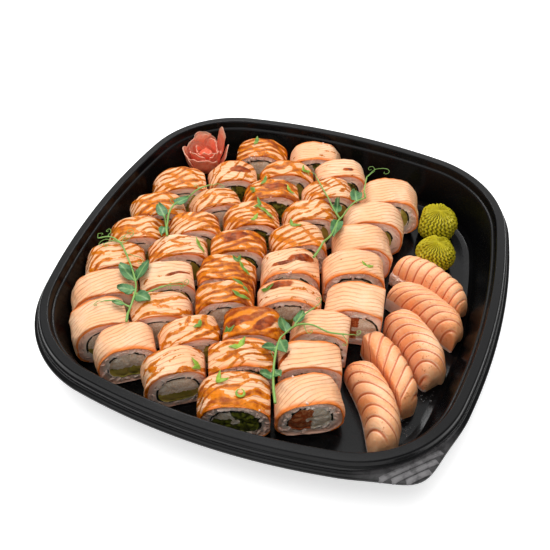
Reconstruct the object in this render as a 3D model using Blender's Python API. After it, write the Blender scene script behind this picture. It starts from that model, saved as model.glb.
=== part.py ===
"""Takeaway tray of sushi: a square black tray packed with salmon rolls, nigiri, wasabi,
a pickled ginger rose and pea shoots. The front edge faces -Y and the tray rests on z = 0."""

import math
import random
from collections import namedtuple

import bmesh
import bpy
from mathutils import Vector

MM = 0.001
GAP = 0.3

# Tray, in millimetres
RIM_HALF = 145.0
RIM_CORNER = 73.0
SIDE_BOW = 435.0
RIM_HEIGHT = 37.7
FLOOR = 1.0
SIDE_STEPS = 2
CORNER_STEPS = 5
TAB_CORNER_STEPS = 11
TAB_REACH = 8.5
TAB_SPREAD = 19.0
TAB_SHIFT = -3.0
TAB_RIB_PITCH = 3.6
TAB_RIBS = (21.0, 15.0, 8.0)

# Half section of the tray: outward offset from the rim's outline, height, share of the corner tab
TRAY_INSIDE = ((-22.0, FLOOR, 0), (-18.0, 1.7, 0), (-15.6, 4.5, 0), (-8.7, 31.2, 0), (-8.1, 32.0, 0),
               (-7.0, 32.2, 0), (-6.1, 37.0, 0), (-5.5, RIM_HEIGHT, 0))
TRAY_OUTSIDE = ((-0.6, RIM_HEIGHT, 0), (0.0, 37.2, 0), (0.8, 34.4, 0), (1.9, 34.0, 0), (2.2, 30.6, 0),
                (2.9, 29.6, 0), (4.6, 29.1, 1), (4.9, 28.5, 1), (4.9, 27.2, 1))
TRAY_UNDER = ((4.0, 27.2, 1), (3.8, 28.1, 1), (1.9, 28.7, 0), (0.9, 33.1, 0), (-1.0, 36.7, 0),
              (-5.0, 36.7, 0), (-6.3, 31.1, 0), (-7.9, 30.6, 0), (-14.6, 4.1, 0), (-17.3, 0.8, 0),
              (-21.0, 0.0, 0))

# Rolls by column, front first: place of the middle, turn from facing the front edge, width, length
ROLL_HEIGHT = 35.5
SHOULDER = 11.0
FOOT_ROUND = 11.0
ARCH_POWER = 0.8
ARCH_STEPS = 10
ROLL_COLUMNS = {
    "a": [(-70, -101, 35, 42, 23), (-92, -90, 40, 44, 27), (-104, -66, 35, 48, 25), (-110, -41, 30, 45, 28),
          (-108, -11, 30, 44, 28), (-106, 18, 35, 43, 29), (-102, 48, 30, 45, 29)],
    "b": [(-33, -107, 35, 42, 24), (-35, -81, 40, 43, 24), (-61, -70, 25, 45, 26), (-68, -45, 30, 44, 27),
          (-73, -18, 30, 46, 26), (-72, 8, 30, 42, 26), (-67, 37, 35, 42, 26), (-67, 70, 25, 42, 26),
          (-58, 107, 15, 44, 23)],
    "c": [(10, -113, 20, 47, 26), (3, -88, 25, 48, 22), (0, -62, 20, 46, 25), (-26, -45, 25, 43, 22),
          (-34, -24, 15, 43, 26), (-36, 1, 25, 44, 26), (-37, 31, 25, 44, 27), (-33, 63, 25, 46, 23),
          (-30, 89, 20, 46, 19), (-16, 118, 20, 43, 23)],
    "d": [(50, -98, 28, 43, 22), (44, -74, 20, 48, 23), (44, -48, 10, 44, 22), (14, -30, 20, 44, 19),
          (6, -4, 20, 44, 25), (2, 23, 30, 42, 25), (2, 51, 25, 43, 26), (9, 76, 30, 43, 24),
          (9, 104, 25, 43, 24)],
    "e": [(59, -20, 10, 47, 27), (47, 10, 20, 46, 25), (46, 36, 20, 43, 28), (47, 64, 15, 46, 27),
          (52, 91, 20, 45, 28)],
}

# Spring onion slivers: roll, place across and along it as shares of its half sizes, turn, length
SLIVER_WIDTH = 2.6
SLIVERS = [
    ("b9", -0.22, -0.45, 80, 10), ("c8", -0.23, -0.52, 60, 10), ("c8", -0.62, 0.07, 100, 8),
    ("c7", 0.25, -0.60, 70, 13), ("c7", 0.50, 0.00, -40, 14), ("c7", 0.10, 0.55, 50, 9),
    ("d6", -0.07, -0.60, -50, 12), ("b5", 0.70, -0.02, -70, 13), ("c9", 0.62, 0.05, -30, 10),
    ("c8", 0.60, 0.25, -60, 9), ("c5", 0.35, -0.50, 20, 9), ("c5", 0.60, 0.00, -45, 11),
    ("c4", 0.55, -0.40, -40, 13), ("c4", 0.50, 0.45, -20, 11), ("d4", -0.65, -0.35, 0, 9),
    ("b2", 0.30, 0.03, 35, 9), ("c3", -0.60, 0.50, -20, 10), ("c2", -0.03, -0.45, 30, 13),
    ("b1", 0.60, 0.55, 80, 9), ("c1", -0.35, -0.50, -50, 11), ("c1", 0.14, 0.32, -10, 11),
    ("e2", 0.35, 0.40, -20, 10),
]

# Nigiri: place of the middle, turn, length, width, height and sideways bend
NIGIRI = [(99, 27, 64, 60, 27, 26, 5), (101, 2, 66, 58, 27, 26, 5), (101, -27, 44, 56, 27, 25, 4),
          (88, -53, 42, 60, 28, 25, 5), (87, -80, 32, 62, 28, 24, 6)]
NIGIRI_STATIONS = (-1.0, -0.96, -0.8, -0.45, 0.0, 0.45, 0.8, 0.96, 1.0)
NIGIRI_ARCH_STEPS = 9

# Wasabi and ginger
WASABI = [(90, 93, 14.5, 24.0), (96, 61, 13.5, 22.0)]
WASABI_RIDGES = 12
GINGER_PLACE = (-106, 102)
GINGER_SPREAD = 38.0
GINGER_CORE_RADIUS = 12.0
# Ginger petals: direction in degrees, half spread, distance out, top height, lean outward
GINGER_PETALS = [(250, 62, 14.0, 22.0, 1.5), (150, 48, 14.5, 30.0, 2.5), (95, 34, 14.5, 26.0, 2.0),
                 (38, 22, 14.5, 37.0, 4.5), (335, 30, 15.5, 24.0, 4.0), (200, 36, 16.5, 24.0, 4.0)]

# Pea shoots: stem route across the tray, side stalks, and leaves as (place, direction, length, width)
STEM_RADIUS = 1.0
STALK_RADIUS = 0.7
SHOOTS = [
    {"stem": [(-72, -92), (-76, -81), (-80, -65), (-87, -54), (-97, -43), (-108, -32)],
     "stalks": [[(-80, -69), (-70, -65), (-60, -56)], [(-77, -79), (-86, -79), (-93, -82)],
                [(-108, -32), (-118, -29), (-126, -33)]],
     "leaves": [(-91, -54, 125, 16, 9), (-84, -50, 80, 16, 9), (-82, -66, 200, 12, 8),
                (-77, -70, 350, 13, 8), (-84, -80, 180, 8, 5)]},
    {"stem": [(-82, -14), (-88, -3), (-92, 12), (-91, 24), (-85, 36), (-76, 46)],
     "stalks": [[(-88, -4), (-94, 6)]],
     "leaves": [(-97, 8, 110, 15, 8), (-90, 24, 60, 15, 8), (-88, -7, 290, 14, 7)]},
    {"stem": [(20, 3), (22, 20), (24, 38), (25, 52), (29, 65), (37, 73)],
     "stalks": [[(24, 50), (12, 62), (-4, 82)], [(37, 73), (33, 86), (31, 100)]],
     "leaves": [(20, 58, 110, 12, 7), (25, 41, 270, 15, 9), (29, 76, 100, 14, 9)]},
    {"stem": [(35, -113), (29, -100), (24, -84), (22, -70), (26, -58), (38, -55), (50, -57), (60, -54)],
     "stalks": [[(27, -56), (30, -49), (35, -41)]],
     "leaves": [(20, -57, 110, 11, 8), (28, -51, 60, 10, 7), (18, -79, 250, 10, 6),
                (26, -75, 280, 12, 7), (30, -95, 300, 8, 6), (22, -98, 200, 8, 5)]},
]

Piece = namedtuple("Piece", "name x y turn width length height")


def clear_scene():
    for existing in list(bpy.data.objects):
        bpy.data.objects.remove(existing)


def material(name, colour, roughness, metallic=0.0):
    made = bpy.data.materials.new(name)
    made.use_nodes = True
    shader = made.node_tree.nodes["Principled BSDF"]
    shader.inputs["Base Color"].default_value = (*colour, 1.0)
    shader.inputs["Roughness"].default_value = roughness
    shader.inputs["Metallic"].default_value = metallic
    return made


def add_object(name, points, faces, colour, roughness):
    """Mesh object from points in millimetres, with its own material and faces turned outward."""
    mesh = bpy.data.meshes.new(name)
    mesh.from_pydata([[value * MM for value in point] for point in points], [], faces)
    shape = bmesh.new()
    shape.from_mesh(mesh)
    bmesh.ops.recalc_face_normals(shape, faces=shape.faces)
    shape.to_mesh(mesh)
    shape.free()
    made = bpy.data.objects.new(name, mesh)
    made.data.materials.append(material(name, colour, roughness))
    bpy.context.scene.collection.objects.link(made)
    return made


def loft(loops):
    """Points and faces of closed loops of equal length joined in order, with both ends capped."""
    count = len(loops[0])
    points = [point for loop in loops for point in loop]
    faces = [list(range(count)), [len(points) - 1 - step for step in range(count)]]
    for row in range(len(loops) - 1):
        start = row * count
        for step in range(count):
            following = (step + 1) % count
            faces.append([start + step, start + following, start + count + following, start + count + step])
    return points, faces


def fuse(target, extras):
    """Join the extras into the target with one Boolean union, then remove them."""
    group = bpy.data.collections.new(target.name + "_extras")
    bpy.context.scene.collection.children.link(group)
    for extra in extras:
        bpy.context.scene.collection.objects.unlink(extra)
        group.objects.link(extra)
    union = target.modifiers.new("union", "BOOLEAN")
    union.operation = "UNION"
    union.operand_type = "COLLECTION"
    union.collection = group
    union.solver = "MANIFOLD"
    bpy.context.view_layer.update()
    evaluated = target.evaluated_get(bpy.context.evaluated_depsgraph_get())
    joined = bpy.data.meshes.new_from_object(evaluated)
    target.modifiers.clear()
    target.data = joined
    while len(joined.materials) > 1:
        joined.materials.pop()
    for polygon in joined.polygons:
        polygon.material_index = 0
    for extra in extras:
        bpy.data.objects.remove(extra)
    bpy.data.collections.remove(group)


# Outline of the tray

def corner_arc():
    """Centre of a corner's arc and the angles where it meets the two bowed sides."""
    side = RIM_HALF - SIDE_BOW
    # The arc's centre lies on the diagonal, one bow less one corner radius from the side's centre
    spread = math.sqrt((SIDE_BOW - RIM_CORNER) ** 2 - side ** 2 / 2)
    centre = side / 2 + spread / math.sqrt(2)
    start = math.atan2(centre, centre - side)
    return centre, start


def rim_outline(offset, height, tab_share):
    """Bowed rounded square, offset outward, with the front right corner pulled out for the tab."""
    centre, start = corner_arc()
    points = []
    for quarter in range(4):
        steps = TAB_CORNER_STEPS if quarter == 3 else CORNER_STEPS
        local = []
        for step in range(SIDE_STEPS):
            angle = start * step / SIDE_STEPS
            local.append((RIM_HALF - SIDE_BOW + (SIDE_BOW + offset) * math.cos(angle),
                          (SIDE_BOW + offset) * math.sin(angle)))
        for step in range(steps + 1):
            angle = start + (math.pi / 2 - 2 * start) * step / steps
            local.append((centre + (RIM_CORNER + offset) * math.cos(angle),
                          centre + (RIM_CORNER + offset) * math.sin(angle)))
        for step in range(SIDE_STEPS - 1, 0, -1):
            angle = start * step / SIDE_STEPS
            local.append(((SIDE_BOW + offset) * math.sin(angle),
                          RIM_HALF - SIDE_BOW + (SIDE_BOW + offset) * math.cos(angle)))
        turn = math.pi / 2 * quarter
        for x, y in local:
            turned_x = x * math.cos(turn) - y * math.sin(turn)
            turned_y = x * math.sin(turn) + y * math.cos(turn)
            across = (turned_x + turned_y) / math.sqrt(2) - TAB_SHIFT
            pull = tab_share * TAB_REACH * math.exp(-(across / TAB_SPREAD) ** 2) if quarter == 3 else 0.0
            points.append((turned_x + pull / math.sqrt(2), turned_y - pull / math.sqrt(2), height))
    return points


def past_rim(x, y):
    """Distance of a point outside the rim's outline, and the outward direction there."""
    centre, start = corner_arc()
    side = RIM_HALF - SIDE_BOW
    flipped = Vector((abs(x), abs(y)))
    from_corner = flipped - Vector((centre, centre))
    angle = math.atan2(from_corner.y, from_corner.x)
    if start <= angle <= math.pi / 2 - start:
        distance = from_corner.length - RIM_CORNER
        direction = from_corner.normalized()
    else:
        hub = Vector((side, 0.0)) if flipped.x > flipped.y else Vector((0.0, side))
        distance = (flipped - hub).length - SIDE_BOW
        direction = (flipped - hub).normalized()
    return distance, Vector((math.copysign(direction.x, x), math.copysign(direction.y, y)))


def wall_offset(height):
    """Offset of the tray's inner wall from the rim's outline at a height."""
    for (low_offset, low, _), (high_offset, high, _) in zip(TRAY_INSIDE, TRAY_INSIDE[1:]):
        if height <= high:
            share = max(height - low, 0.0) / (high - low)
            return low_offset + (high_offset - low_offset) * share
    return TRAY_INSIDE[-1][0]


def build_tray():
    loops = [rim_outline(*station) for station in TRAY_INSIDE + TRAY_OUTSIDE + TRAY_UNDER]
    points, faces = loft(loops)
    tray = add_object("tray", points, faces, (0.02, 0.02, 0.022), 0.35)
    centre, start = corner_arc()
    flange = centre * math.sqrt(2) + RIM_CORNER + 4.9
    ribs = []
    for number, half_length in enumerate(TAB_RIBS):
        middle = flange - 1.6 + TAB_RIB_PITCH * number
        ribs.append(tab_rib(f"rib_{number}", middle, half_length))
    fuse(tray, ribs)


def tab_rib(name, distance, half_length):
    """Straight ridge across the corner tab, at a distance along the tray's diagonal."""
    outward = Vector((1.0, -1.0)).normalized()
    sideways = Vector((1.0, 1.0)).normalized()
    loops = []
    for end in (-half_length + TAB_SHIFT, half_length + TAB_SHIFT):
        loop = []
        for out, up in ((-0.9, 28.7), (-0.6, 30.0), (0.6, 30.0), (0.9, 28.7)):
            place = outward * (distance + out) + sideways * end
            loop.append((place.x, place.y, up))
        loops.append(loop)
    points, faces = loft(loops)
    return add_object(name, points, faces, (0.02, 0.02, 0.022), 0.35)


# Pieces pressed against each other and the wall

def piece_axes(piece):
    turn = math.radians(piece.turn)
    return Vector((math.cos(turn), math.sin(turn))), Vector((math.sin(turn), -math.cos(turn)))


def reach(piece, direction):
    across, along = piece_axes(piece)
    return abs(across @ direction) * piece.width / 2 + abs(along @ direction) * piece.length / 2


def contact_planes(piece, pieces):
    """Upright planes that part the piece from each near neighbour: direction and distance along it."""
    planes = []
    for other in pieces:
        if other is piece:
            continue
        offset = Vector((other.x - piece.x, other.y - piece.y))
        choices = []
        for axis in piece_axes(piece) + piece_axes(other):
            toward = axis if offset @ axis > 0 else -axis
            choices.append((offset @ toward - reach(piece, toward) - reach(other, toward), toward))
        apart, toward = max(choices, key=lambda choice: choice[0])
        if apart < 3.0:
            meeting = Vector((piece.x, piece.y)) @ toward + reach(piece, toward) + apart / 2
            planes.append((toward, meeting - GAP / 2))
    return planes


def squeeze(room, softness=1.5):
    """Room left before a plane after soft food is pressed against it, always above zero."""
    return room if room > softness else softness * math.exp(room / softness - 1.0)


def press(point, planes, depth=0.0):
    """Push a point of a piece back from its neighbours' planes and from the tray's wall."""
    place = Vector(point[:2])
    for _ in range(3):
        for toward, meeting in planes:
            room = meeting - depth - place @ toward
            place -= toward * (squeeze(room) - room)
        outside, outward = past_rim(place.x, place.y)
        room = wall_offset(point[2]) - GAP - depth - outside
        place -= outward * (squeeze(room) - room)
    return place.x, place.y, point[2]


# Rolls

def arch_height(share, height):
    """Height of an arched top at a share of its half width from the middle."""
    cosine = min(abs(share), 1.0) ** (1.0 / ARCH_POWER)
    return SHOULDER + (height - SHOULDER) * (1.0 - cosine ** 2) ** (ARCH_POWER / 2)


def roll_section(width, height):
    """Loop of a roll's cut face as across and up: flat under, upright at the sides, arched on top."""
    loop = []
    for step in range(ARCH_STEPS + 1):
        angle = math.pi * step / ARCH_STEPS
        share = -math.copysign(abs(math.cos(angle)) ** ARCH_POWER, math.cos(angle))
        loop.append((share * width / 2, arch_height(share, height)))
    foot = width / 2 - FOOT_ROUND
    side = width / 2 - 0.27 * FOOT_ROUND
    return loop + [(side, 4.0), (foot, 0.0), (-foot, 0.0), (-side, 4.0)]


def build_roll(piece, planes, draw):
    across, along = piece_axes(piece)
    lean = draw.uniform(-0.8, 0.8)
    loops = []
    for station, scale in ((-0.5, 0.94), (-0.43, 1.0), (0.43, 1.0), (0.5, 0.94)):
        loop = []
        for side, up in roll_section(piece.width, piece.height):
            shift = station * piece.length + lean * up / piece.height
            place = Vector((piece.x, piece.y)) + across * side * scale + along * shift
            height = FLOOR + GAP + up * (1.0 - (1.0 - scale) * up / piece.height)
            loop.append(press((place.x, place.y, height), planes))
        loops.append(loop)
    points, faces = loft(loops)
    return add_object("roll_" + piece.name, points, faces, (0.85, 0.50, 0.30), 0.40)


def sliver(name, piece, side_share, along_share, turn, length):
    """Thin bent strip of spring onion lying on a roll, sunk slightly into its top."""
    across, along = piece_axes(piece)
    middle = Vector((piece.x, piece.y)) + across * side_share * piece.width / 2
    middle += along * along_share * piece.length / 2
    heading = math.radians(piece.turn + turn)
    forward = Vector((math.cos(heading), math.sin(heading)))
    aside = Vector((-forward.y, forward.x))
    loops = []
    for step in range(4):
        reached = step / 3.0 - 0.5
        taper = 0.45 if step in (0, 3) else 1.0
        bend = 1.2 * (0.25 - reached ** 2)
        loop = []
        for edge, lift in ((-0.5, -0.7), (-0.5, 0.35), (0.5, 0.35), (0.5, -0.7)):
            place = middle + forward * reached * length + aside * (edge * SLIVER_WIDTH * taper + bend)
            share = (place - Vector((piece.x, piece.y))) @ across / (piece.width / 2)
            loop.append((place.x, place.y, FLOOR + GAP + arch_height(share, piece.height) + lift))
        loops.append(loop)
    points, faces = loft(loops)
    return add_object(name, points, faces, (0.25, 0.45, 0.08), 0.40)


def build_rolls(pieces):
    draw = random.Random(7)
    for piece in [one for one in pieces if one.name[0] in ROLL_COLUMNS]:
        roll = build_roll(piece, contact_planes(piece, pieces), draw)
        mine = [entry for entry in SLIVERS if entry[0] == piece.name]
        slivers = [sliver(f"sliver_{number}", piece, *entry[1:]) for number, entry in enumerate(mine)]
        if slivers:
            fuse(roll, slivers)


# Nigiri, wasabi and ginger

def build_nigiri(piece, bend, planes):
    """Long low dome of rice under a draped slice, bent sideways and closing at both ends."""
    across, along = piece_axes(piece)
    loops = []
    for station in NIGIRI_STATIONS:
        swell = math.sqrt(max(1.0 - abs(station) ** 4.0, 0.0))
        half = (piece.width - abs(bend)) / 2 * (0.48 + 0.52 * swell)
        top = piece.height * (0.42 + 0.58 * swell)
        loop = []
        for step in range(NIGIRI_ARCH_STEPS + 1):
            angle = math.pi * step / NIGIRI_ARCH_STEPS
            side = -math.copysign(abs(math.cos(angle)) ** ARCH_POWER, math.cos(angle)) * half
            up = top * max(math.sin(angle), 0.0) ** ARCH_POWER
            side += bend * (0.5 - station ** 2)
            place = Vector((piece.x, piece.y)) + across * side + along * station * piece.length / 2
            loop.append(press((place.x, place.y, FLOOR + GAP + up), planes))
        loops.append(loop)
    points, faces = loft(loops)
    add_object(piece.name, points, faces, (0.83, 0.36, 0.16), 0.40)


def build_wasabi(name, x, y, radius, height, planes):
    """Ball piped in upright ridges that run down from its top."""
    count = WASABI_RIDGES * 2
    loops = []
    for polar in (12, 33, 55, 78, 102, 126, 148):
        loop = []
        for step in range(count):
            angle = 2 * math.pi * step / count
            ridge = 1.0 + (0.035 if step % 2 else -0.035) * math.sin(math.radians(polar))
            out = radius * ridge * math.sin(math.radians(polar)) ** 0.9
            up = height / 1.85 * (0.85 + math.cos(math.radians(polar)))
            point = (x + out * math.cos(angle), y + out * math.sin(angle), FLOOR + GAP + up)
            loop.append(press(point, planes))
        loops.append(loop)
    points, faces = loft(loops)
    add_object(name, points, faces, (0.36, 0.40, 0.03), 0.55)


def ginger_petal(name, direction, spread, out, top, lean, planes):
    """Curved slice standing round the bud, thin, with its upper edge leaning outward to a point."""
    columns = 6
    rows = 4
    thickness = 1.5
    foot = GINGER_CORE_RADIUS * 0.62
    middle = math.radians(direction)
    shells = []
    for inset in (0.0, thickness):
        shell = []
        for row in range(rows + 1):
            rise = row / rows
            for column in range(columns + 1):
                swing = 2.0 * column / columns - 1.0
                angle = middle + math.radians(spread) * swing * (1.0 - 0.45 * rise ** 2)
                crest = 1.0 - 0.22 * swing ** 2
                radius = foot + (out - foot) * math.sin(math.pi / 2 * min(rise * 1.6, 1.0))
                radius += lean * rise ** 2 - inset
                height = FLOOR + GAP + 1.5 + (top - 1.5) * rise * crest
                shell.append(press((GINGER_PLACE[0] + radius * math.cos(angle),
                                    GINGER_PLACE[1] + radius * math.sin(angle), height), planes, inset))
        shells.append(shell)
    points = shells[0] + shells[1]
    stride = columns + 1
    inner = len(shells[0])
    faces = []
    for row in range(rows):
        for column in range(columns):
            corner = row * stride + column
            faces.append([corner, corner + 1, corner + stride + 1])
            faces.append([corner, corner + stride + 1, corner + stride])
            faces.append([inner + corner, inner + corner + stride + 1, inner + corner + 1])
            faces.append([inner + corner, inner + corner + stride, inner + corner + stride + 1])
    border = list(range(columns)) + [row * stride + columns for row in range(rows)]
    border += [rows * stride + column for column in range(columns, 0, -1)]
    border += [row * stride for row in range(rows, 0, -1)]
    for here, there in zip(border, border[1:] + border[:1]):
        faces.append([here, there, inner + there, inner + here])
    return add_object(name, points, faces, (0.80, 0.16, 0.09), 0.35)


def build_ginger(planes):
    loops = []
    for share, up in ((0.55, 0.0), (0.85, 4.0), (1.0, 10.0), (0.8, 16.5), (0.35, 20.5)):
        radius = GINGER_CORE_RADIUS * share
        loops.append([press((GINGER_PLACE[0] + radius * math.cos(math.radians(angle)),
                             GINGER_PLACE[1] + radius * math.sin(math.radians(angle)),
                             FLOOR + GAP + up), planes) for angle in range(0, 360, 30)])
    points, faces = loft(loops)
    rose = add_object("ginger_rose", points, faces, (0.80, 0.16, 0.09), 0.35)
    petals = [ginger_petal(f"petal_{number}", *entry, planes) for number, entry in enumerate(GINGER_PETALS)]
    fuse(rose, petals)


# Pea shoots

def food_height(x, y, pieces):
    """Height of the food under a point of the tray."""
    best = 20.0
    for piece in pieces:
        across, along = piece_axes(piece)
        offset = Vector((x - piece.x, y - piece.y))
        if abs(offset @ along) < piece.length / 2 and abs(offset @ across) < piece.width / 2:
            best = max(best, arch_height(offset @ across / (piece.width / 2), piece.height))
    return FLOOR + GAP + best


def laid_height(x, y, pieces):
    """Height at which a stem lies: the highest food within a few millimetres, and a small gap."""
    around = [(0, 0), (4, 0), (-4, 0), (0, 4), (0, -4), (3, 3), (-3, 3), (3, -3), (-3, -3)]
    return max(food_height(x + dx, y + dy, pieces) for dx, dy in around) + 1.2


def smooth_route(route, steps=2):
    """Points of a curve through the given places of the tray."""
    ends = [Vector(route[0]) * 2 - Vector(route[1])] + [Vector(place) for place in route]
    ends.append(Vector(route[-1]) * 2 - Vector(route[-2]))
    curve = []
    for before, start, finish, after in zip(ends, ends[1:], ends[2:], ends[3:]):
        for step in range(steps):
            t = step / steps
            curve.append(0.5 * ((2 * start) + (finish - before) * t
                                + (2 * before - 5 * start + 4 * finish - after) * t ** 2
                                + (3 * start - before - 3 * finish + after) * t ** 3))
    return curve + [ends[-2]]


def stem(name, route, radius, pieces, spine, sides=5):
    """Tapering tube laid over the food along a route, growing from the spine if there is one."""
    curve = smooth_route(route)
    heights = [laid_height(place.x, place.y, pieces) + radius for place in curve]
    for _ in range(2):
        padded = [heights[0]] + heights + [heights[-1]]
        heights = [max(height, (low + high) / 2) for low, height, high in zip(padded, heights, padded[2:])]
    if spine:
        root = nearest(spine, curve[0])
        curve[0], heights[0] = Vector(root[:2]), root[2]
    loops = []
    for number, place in enumerate(curve):
        ahead = curve[min(number + 1, len(curve) - 1)] - curve[max(number - 1, 0)]
        aside = Vector((-ahead.y, ahead.x)).normalized()
        thickness = radius * (1.0 - 0.4 * number / (len(curve) - 1))
        loop = []
        for step in range(sides):
            angle = 2 * math.pi * step / sides
            point = place + aside * thickness * math.cos(angle)
            loop.append((point.x, point.y, heights[number] + thickness * math.sin(angle)))
        loops.append(loop)
    spine += [(place.x, place.y, height) for place, height in zip(curve, heights)]
    points, faces = loft(loops)
    return add_object(name, points, faces, (0.18, 0.36, 0.10), 0.50)


def nearest(spine, place):
    """Point of the spine that lies nearest to a place seen from above."""
    return min(spine, key=lambda point: (Vector(point[:2]) - place).length)


def leaf(name, place, direction, length, width, pieces, spine):
    """Thin wavy oval solid that grows from the spine, with both faces split into triangles alike."""
    heading = math.radians(direction)
    forward = Vector((math.cos(heading), math.sin(heading)))
    root = nearest(spine, Vector(place) - forward * length * 0.4)
    toward = Vector(place) - Vector(root[:2])
    if toward.length > 3.0:
        forward = toward.normalized()
    aside = Vector((-forward.y, forward.x))
    rows = 4
    top, under = [], []
    for row in range(rows + 1):
        share = row / rows
        half = width / 2 * (0.12 + 0.88 * math.sin(math.pi * (0.04 + 0.88 * share)))
        for edge in (-1.0, 0.0, 1.0):
            spot = Vector(root[:2]) + forward * share * length + aside * edge * half
            wave = 0.8 * abs(edge) * share + 0.5 * share * math.sin(5.0 * share + edge)
            height = max(laid_height(spot.x, spot.y, pieces) + 0.6, root[2] - 3.0 * share) + wave
            if row == 0:
                height = root[2]
            top.append((spot.x, spot.y, height + 0.3))
            under.append((spot.x, spot.y, height - 0.3))
    points = top + under
    inner = len(top)
    faces = []
    for row in range(rows):
        for column in range(2):
            corner = row * 3 + column
            faces.append([corner, corner + 1, corner + 4])
            faces.append([corner, corner + 4, corner + 3])
            faces.append([inner + corner, inner + corner + 4, inner + corner + 1])
            faces.append([inner + corner, inner + corner + 3, inner + corner + 4])
    border = [0, 1] + [row * 3 + 2 for row in range(rows)] + [rows * 3 + 2, rows * 3 + 1]
    border += [row * 3 for row in range(rows, 0, -1)]
    for here, there in zip(border, border[1:] + border[:1]):
        faces.append([here, there, inner + there, inner + here])
    return add_object(name, points, faces, (0.10, 0.26, 0.08), 0.45)


def build_shoots(pieces):
    for number, shoot in enumerate(SHOOTS, start=1):
        spine = []
        main_stem = stem(f"pea_shoot_{number}", shoot["stem"], STEM_RADIUS, pieces, spine)
        parts = [stem(f"stalk_{index}", route, STALK_RADIUS, pieces, spine)
                 for index, route in enumerate(shoot["stalks"])]
        parts += [leaf(f"leaf_{index}", entry[:2], *entry[2:], pieces, spine)
                  for index, entry in enumerate(shoot["leaves"])]
        fuse(main_stem, parts)


def list_pieces():
    """Every pressed piece as a turned box seen from above."""
    draw = random.Random(3)
    pieces = []
    for column, rows in ROLL_COLUMNS.items():
        for number, entry in enumerate(rows, start=1):
            height = ROLL_HEIGHT + draw.uniform(-0.9, 0.9)
            pieces.append(Piece(f"{column}{number}", *entry, height))
    for number, (x, y, turn, length, width, height, bend) in enumerate(NIGIRI, start=1):
        pieces.append(Piece(f"nigiri_{number}", x, y, turn, width + bend, length, height))
    return pieces


def main():
    clear_scene()
    pieces = list_pieces()
    build_tray()
    build_rolls(pieces)
    for piece, entry in zip(pieces[-len(NIGIRI):], NIGIRI):
        build_nigiri(piece, entry[-1], contact_planes(piece, pieces))
    for number, (x, y, radius, height) in enumerate(WASABI, start=1):
        ball = Piece("wasabi", x, y, 0, radius * 2, radius * 2, height)
        build_wasabi(f"wasabi_{number}", x, y, radius, height, contact_planes(ball, pieces))
    rose = Piece("ginger", *GINGER_PLACE, 0, GINGER_SPREAD, GINGER_SPREAD, 0)
    build_ginger(contact_planes(rose, pieces))
    build_shoots(pieces)


main()
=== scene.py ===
"""Dressed model of the sushi tray: looks, camera, floor and light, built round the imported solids."""

import math
import random

import bpy
import numpy as np
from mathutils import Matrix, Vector

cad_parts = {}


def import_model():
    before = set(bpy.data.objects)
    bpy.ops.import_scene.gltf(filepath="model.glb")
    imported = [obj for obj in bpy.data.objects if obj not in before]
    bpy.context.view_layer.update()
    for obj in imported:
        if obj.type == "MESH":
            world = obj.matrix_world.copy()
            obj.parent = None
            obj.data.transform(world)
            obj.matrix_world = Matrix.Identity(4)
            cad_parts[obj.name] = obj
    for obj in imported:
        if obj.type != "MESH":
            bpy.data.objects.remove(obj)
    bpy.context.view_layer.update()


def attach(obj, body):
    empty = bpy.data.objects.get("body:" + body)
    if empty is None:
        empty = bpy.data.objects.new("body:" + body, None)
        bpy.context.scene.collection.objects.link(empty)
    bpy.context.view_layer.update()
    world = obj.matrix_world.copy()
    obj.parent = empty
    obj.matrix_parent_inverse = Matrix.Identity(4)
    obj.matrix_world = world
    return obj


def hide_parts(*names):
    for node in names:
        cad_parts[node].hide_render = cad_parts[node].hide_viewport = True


MM = 0.001
FLOOR = 1.0
GAP = 0.3
BASE = FLOOR + GAP

# Camera, solved from the tray's rim in the photograph
CAMERA_TARGET = (1.3, -22.2, 37.7)
CAMERA_DISTANCE = 477.9
CAMERA_AZIMUTH = 20.3
CAMERA_ELEVATION = 47.3
CAMERA_LENS = 47.1

# Tray, in millimetres, as in the solids
RIM_HALF = 145.0
RIM_CORNER = 73.0
SIDE_BOW = 435.0
RIM_HEIGHT = 37.7
TAB_REACH = 8.5
TAB_SPREAD = 19.0
TAB_SHIFT = -3.0
TAB_RIB_PITCH = 3.6
TAB_RIBS = (21.0, 15.0, 8.0)
TAB_BAR_FOOT = 28.7
TAB_BAR_SECTION = ((-1.65, 28.7), (-1.55, 29.7), (-1.3, 30.0), (1.3, 30.0), (1.55, 29.7), (1.65, 28.7))
TAB_BAR_ROWS = 15
FLOOR_RINGS = (1.0, 0.75, 0.5, 0.25, 0.02)
TRAY_INSIDE = ((-22.0, FLOOR, 0), (-18.0, 1.7, 0), (-15.6, 4.5, 0), (-8.7, 31.2, 0), (-8.1, 32.0, 0),
               (-7.0, 32.2, 0), (-6.1, 37.0, 0), (-5.5, RIM_HEIGHT, 0))
TRAY_OUTSIDE = ((-0.6, RIM_HEIGHT, 0), (0.0, 37.2, 0), (0.8, 34.4, 0), (1.9, 34.0, 0), (2.2, 30.6, 0),
                (2.9, 29.6, 0), (4.6, 29.1, 1), (4.9, 28.5, 1), (4.9, 27.2, 1))
TRAY_UNDER = ((4.0, 27.2, 1), (3.8, 28.1, 1), (1.9, 28.7, 0), (0.9, 33.1, 0), (-1.0, 36.7, 0),
              (-5.0, 36.7, 0), (-6.3, 31.1, 0), (-7.9, 30.6, 0), (-14.6, 4.1, 0), (-17.3, 0.8, 0),
              (-21.0, 0.0, 0))

# Drops of water on the floor: middle of each patch, its spread, number of drops
DROPLETS = [(107, -84, 4.5, 70), (116, -55, 3.0, 24), (80, 112, 9.0, 20), (80, 44, 6.0, 16),
            (-118, -66, 3.0, 12)]

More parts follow.
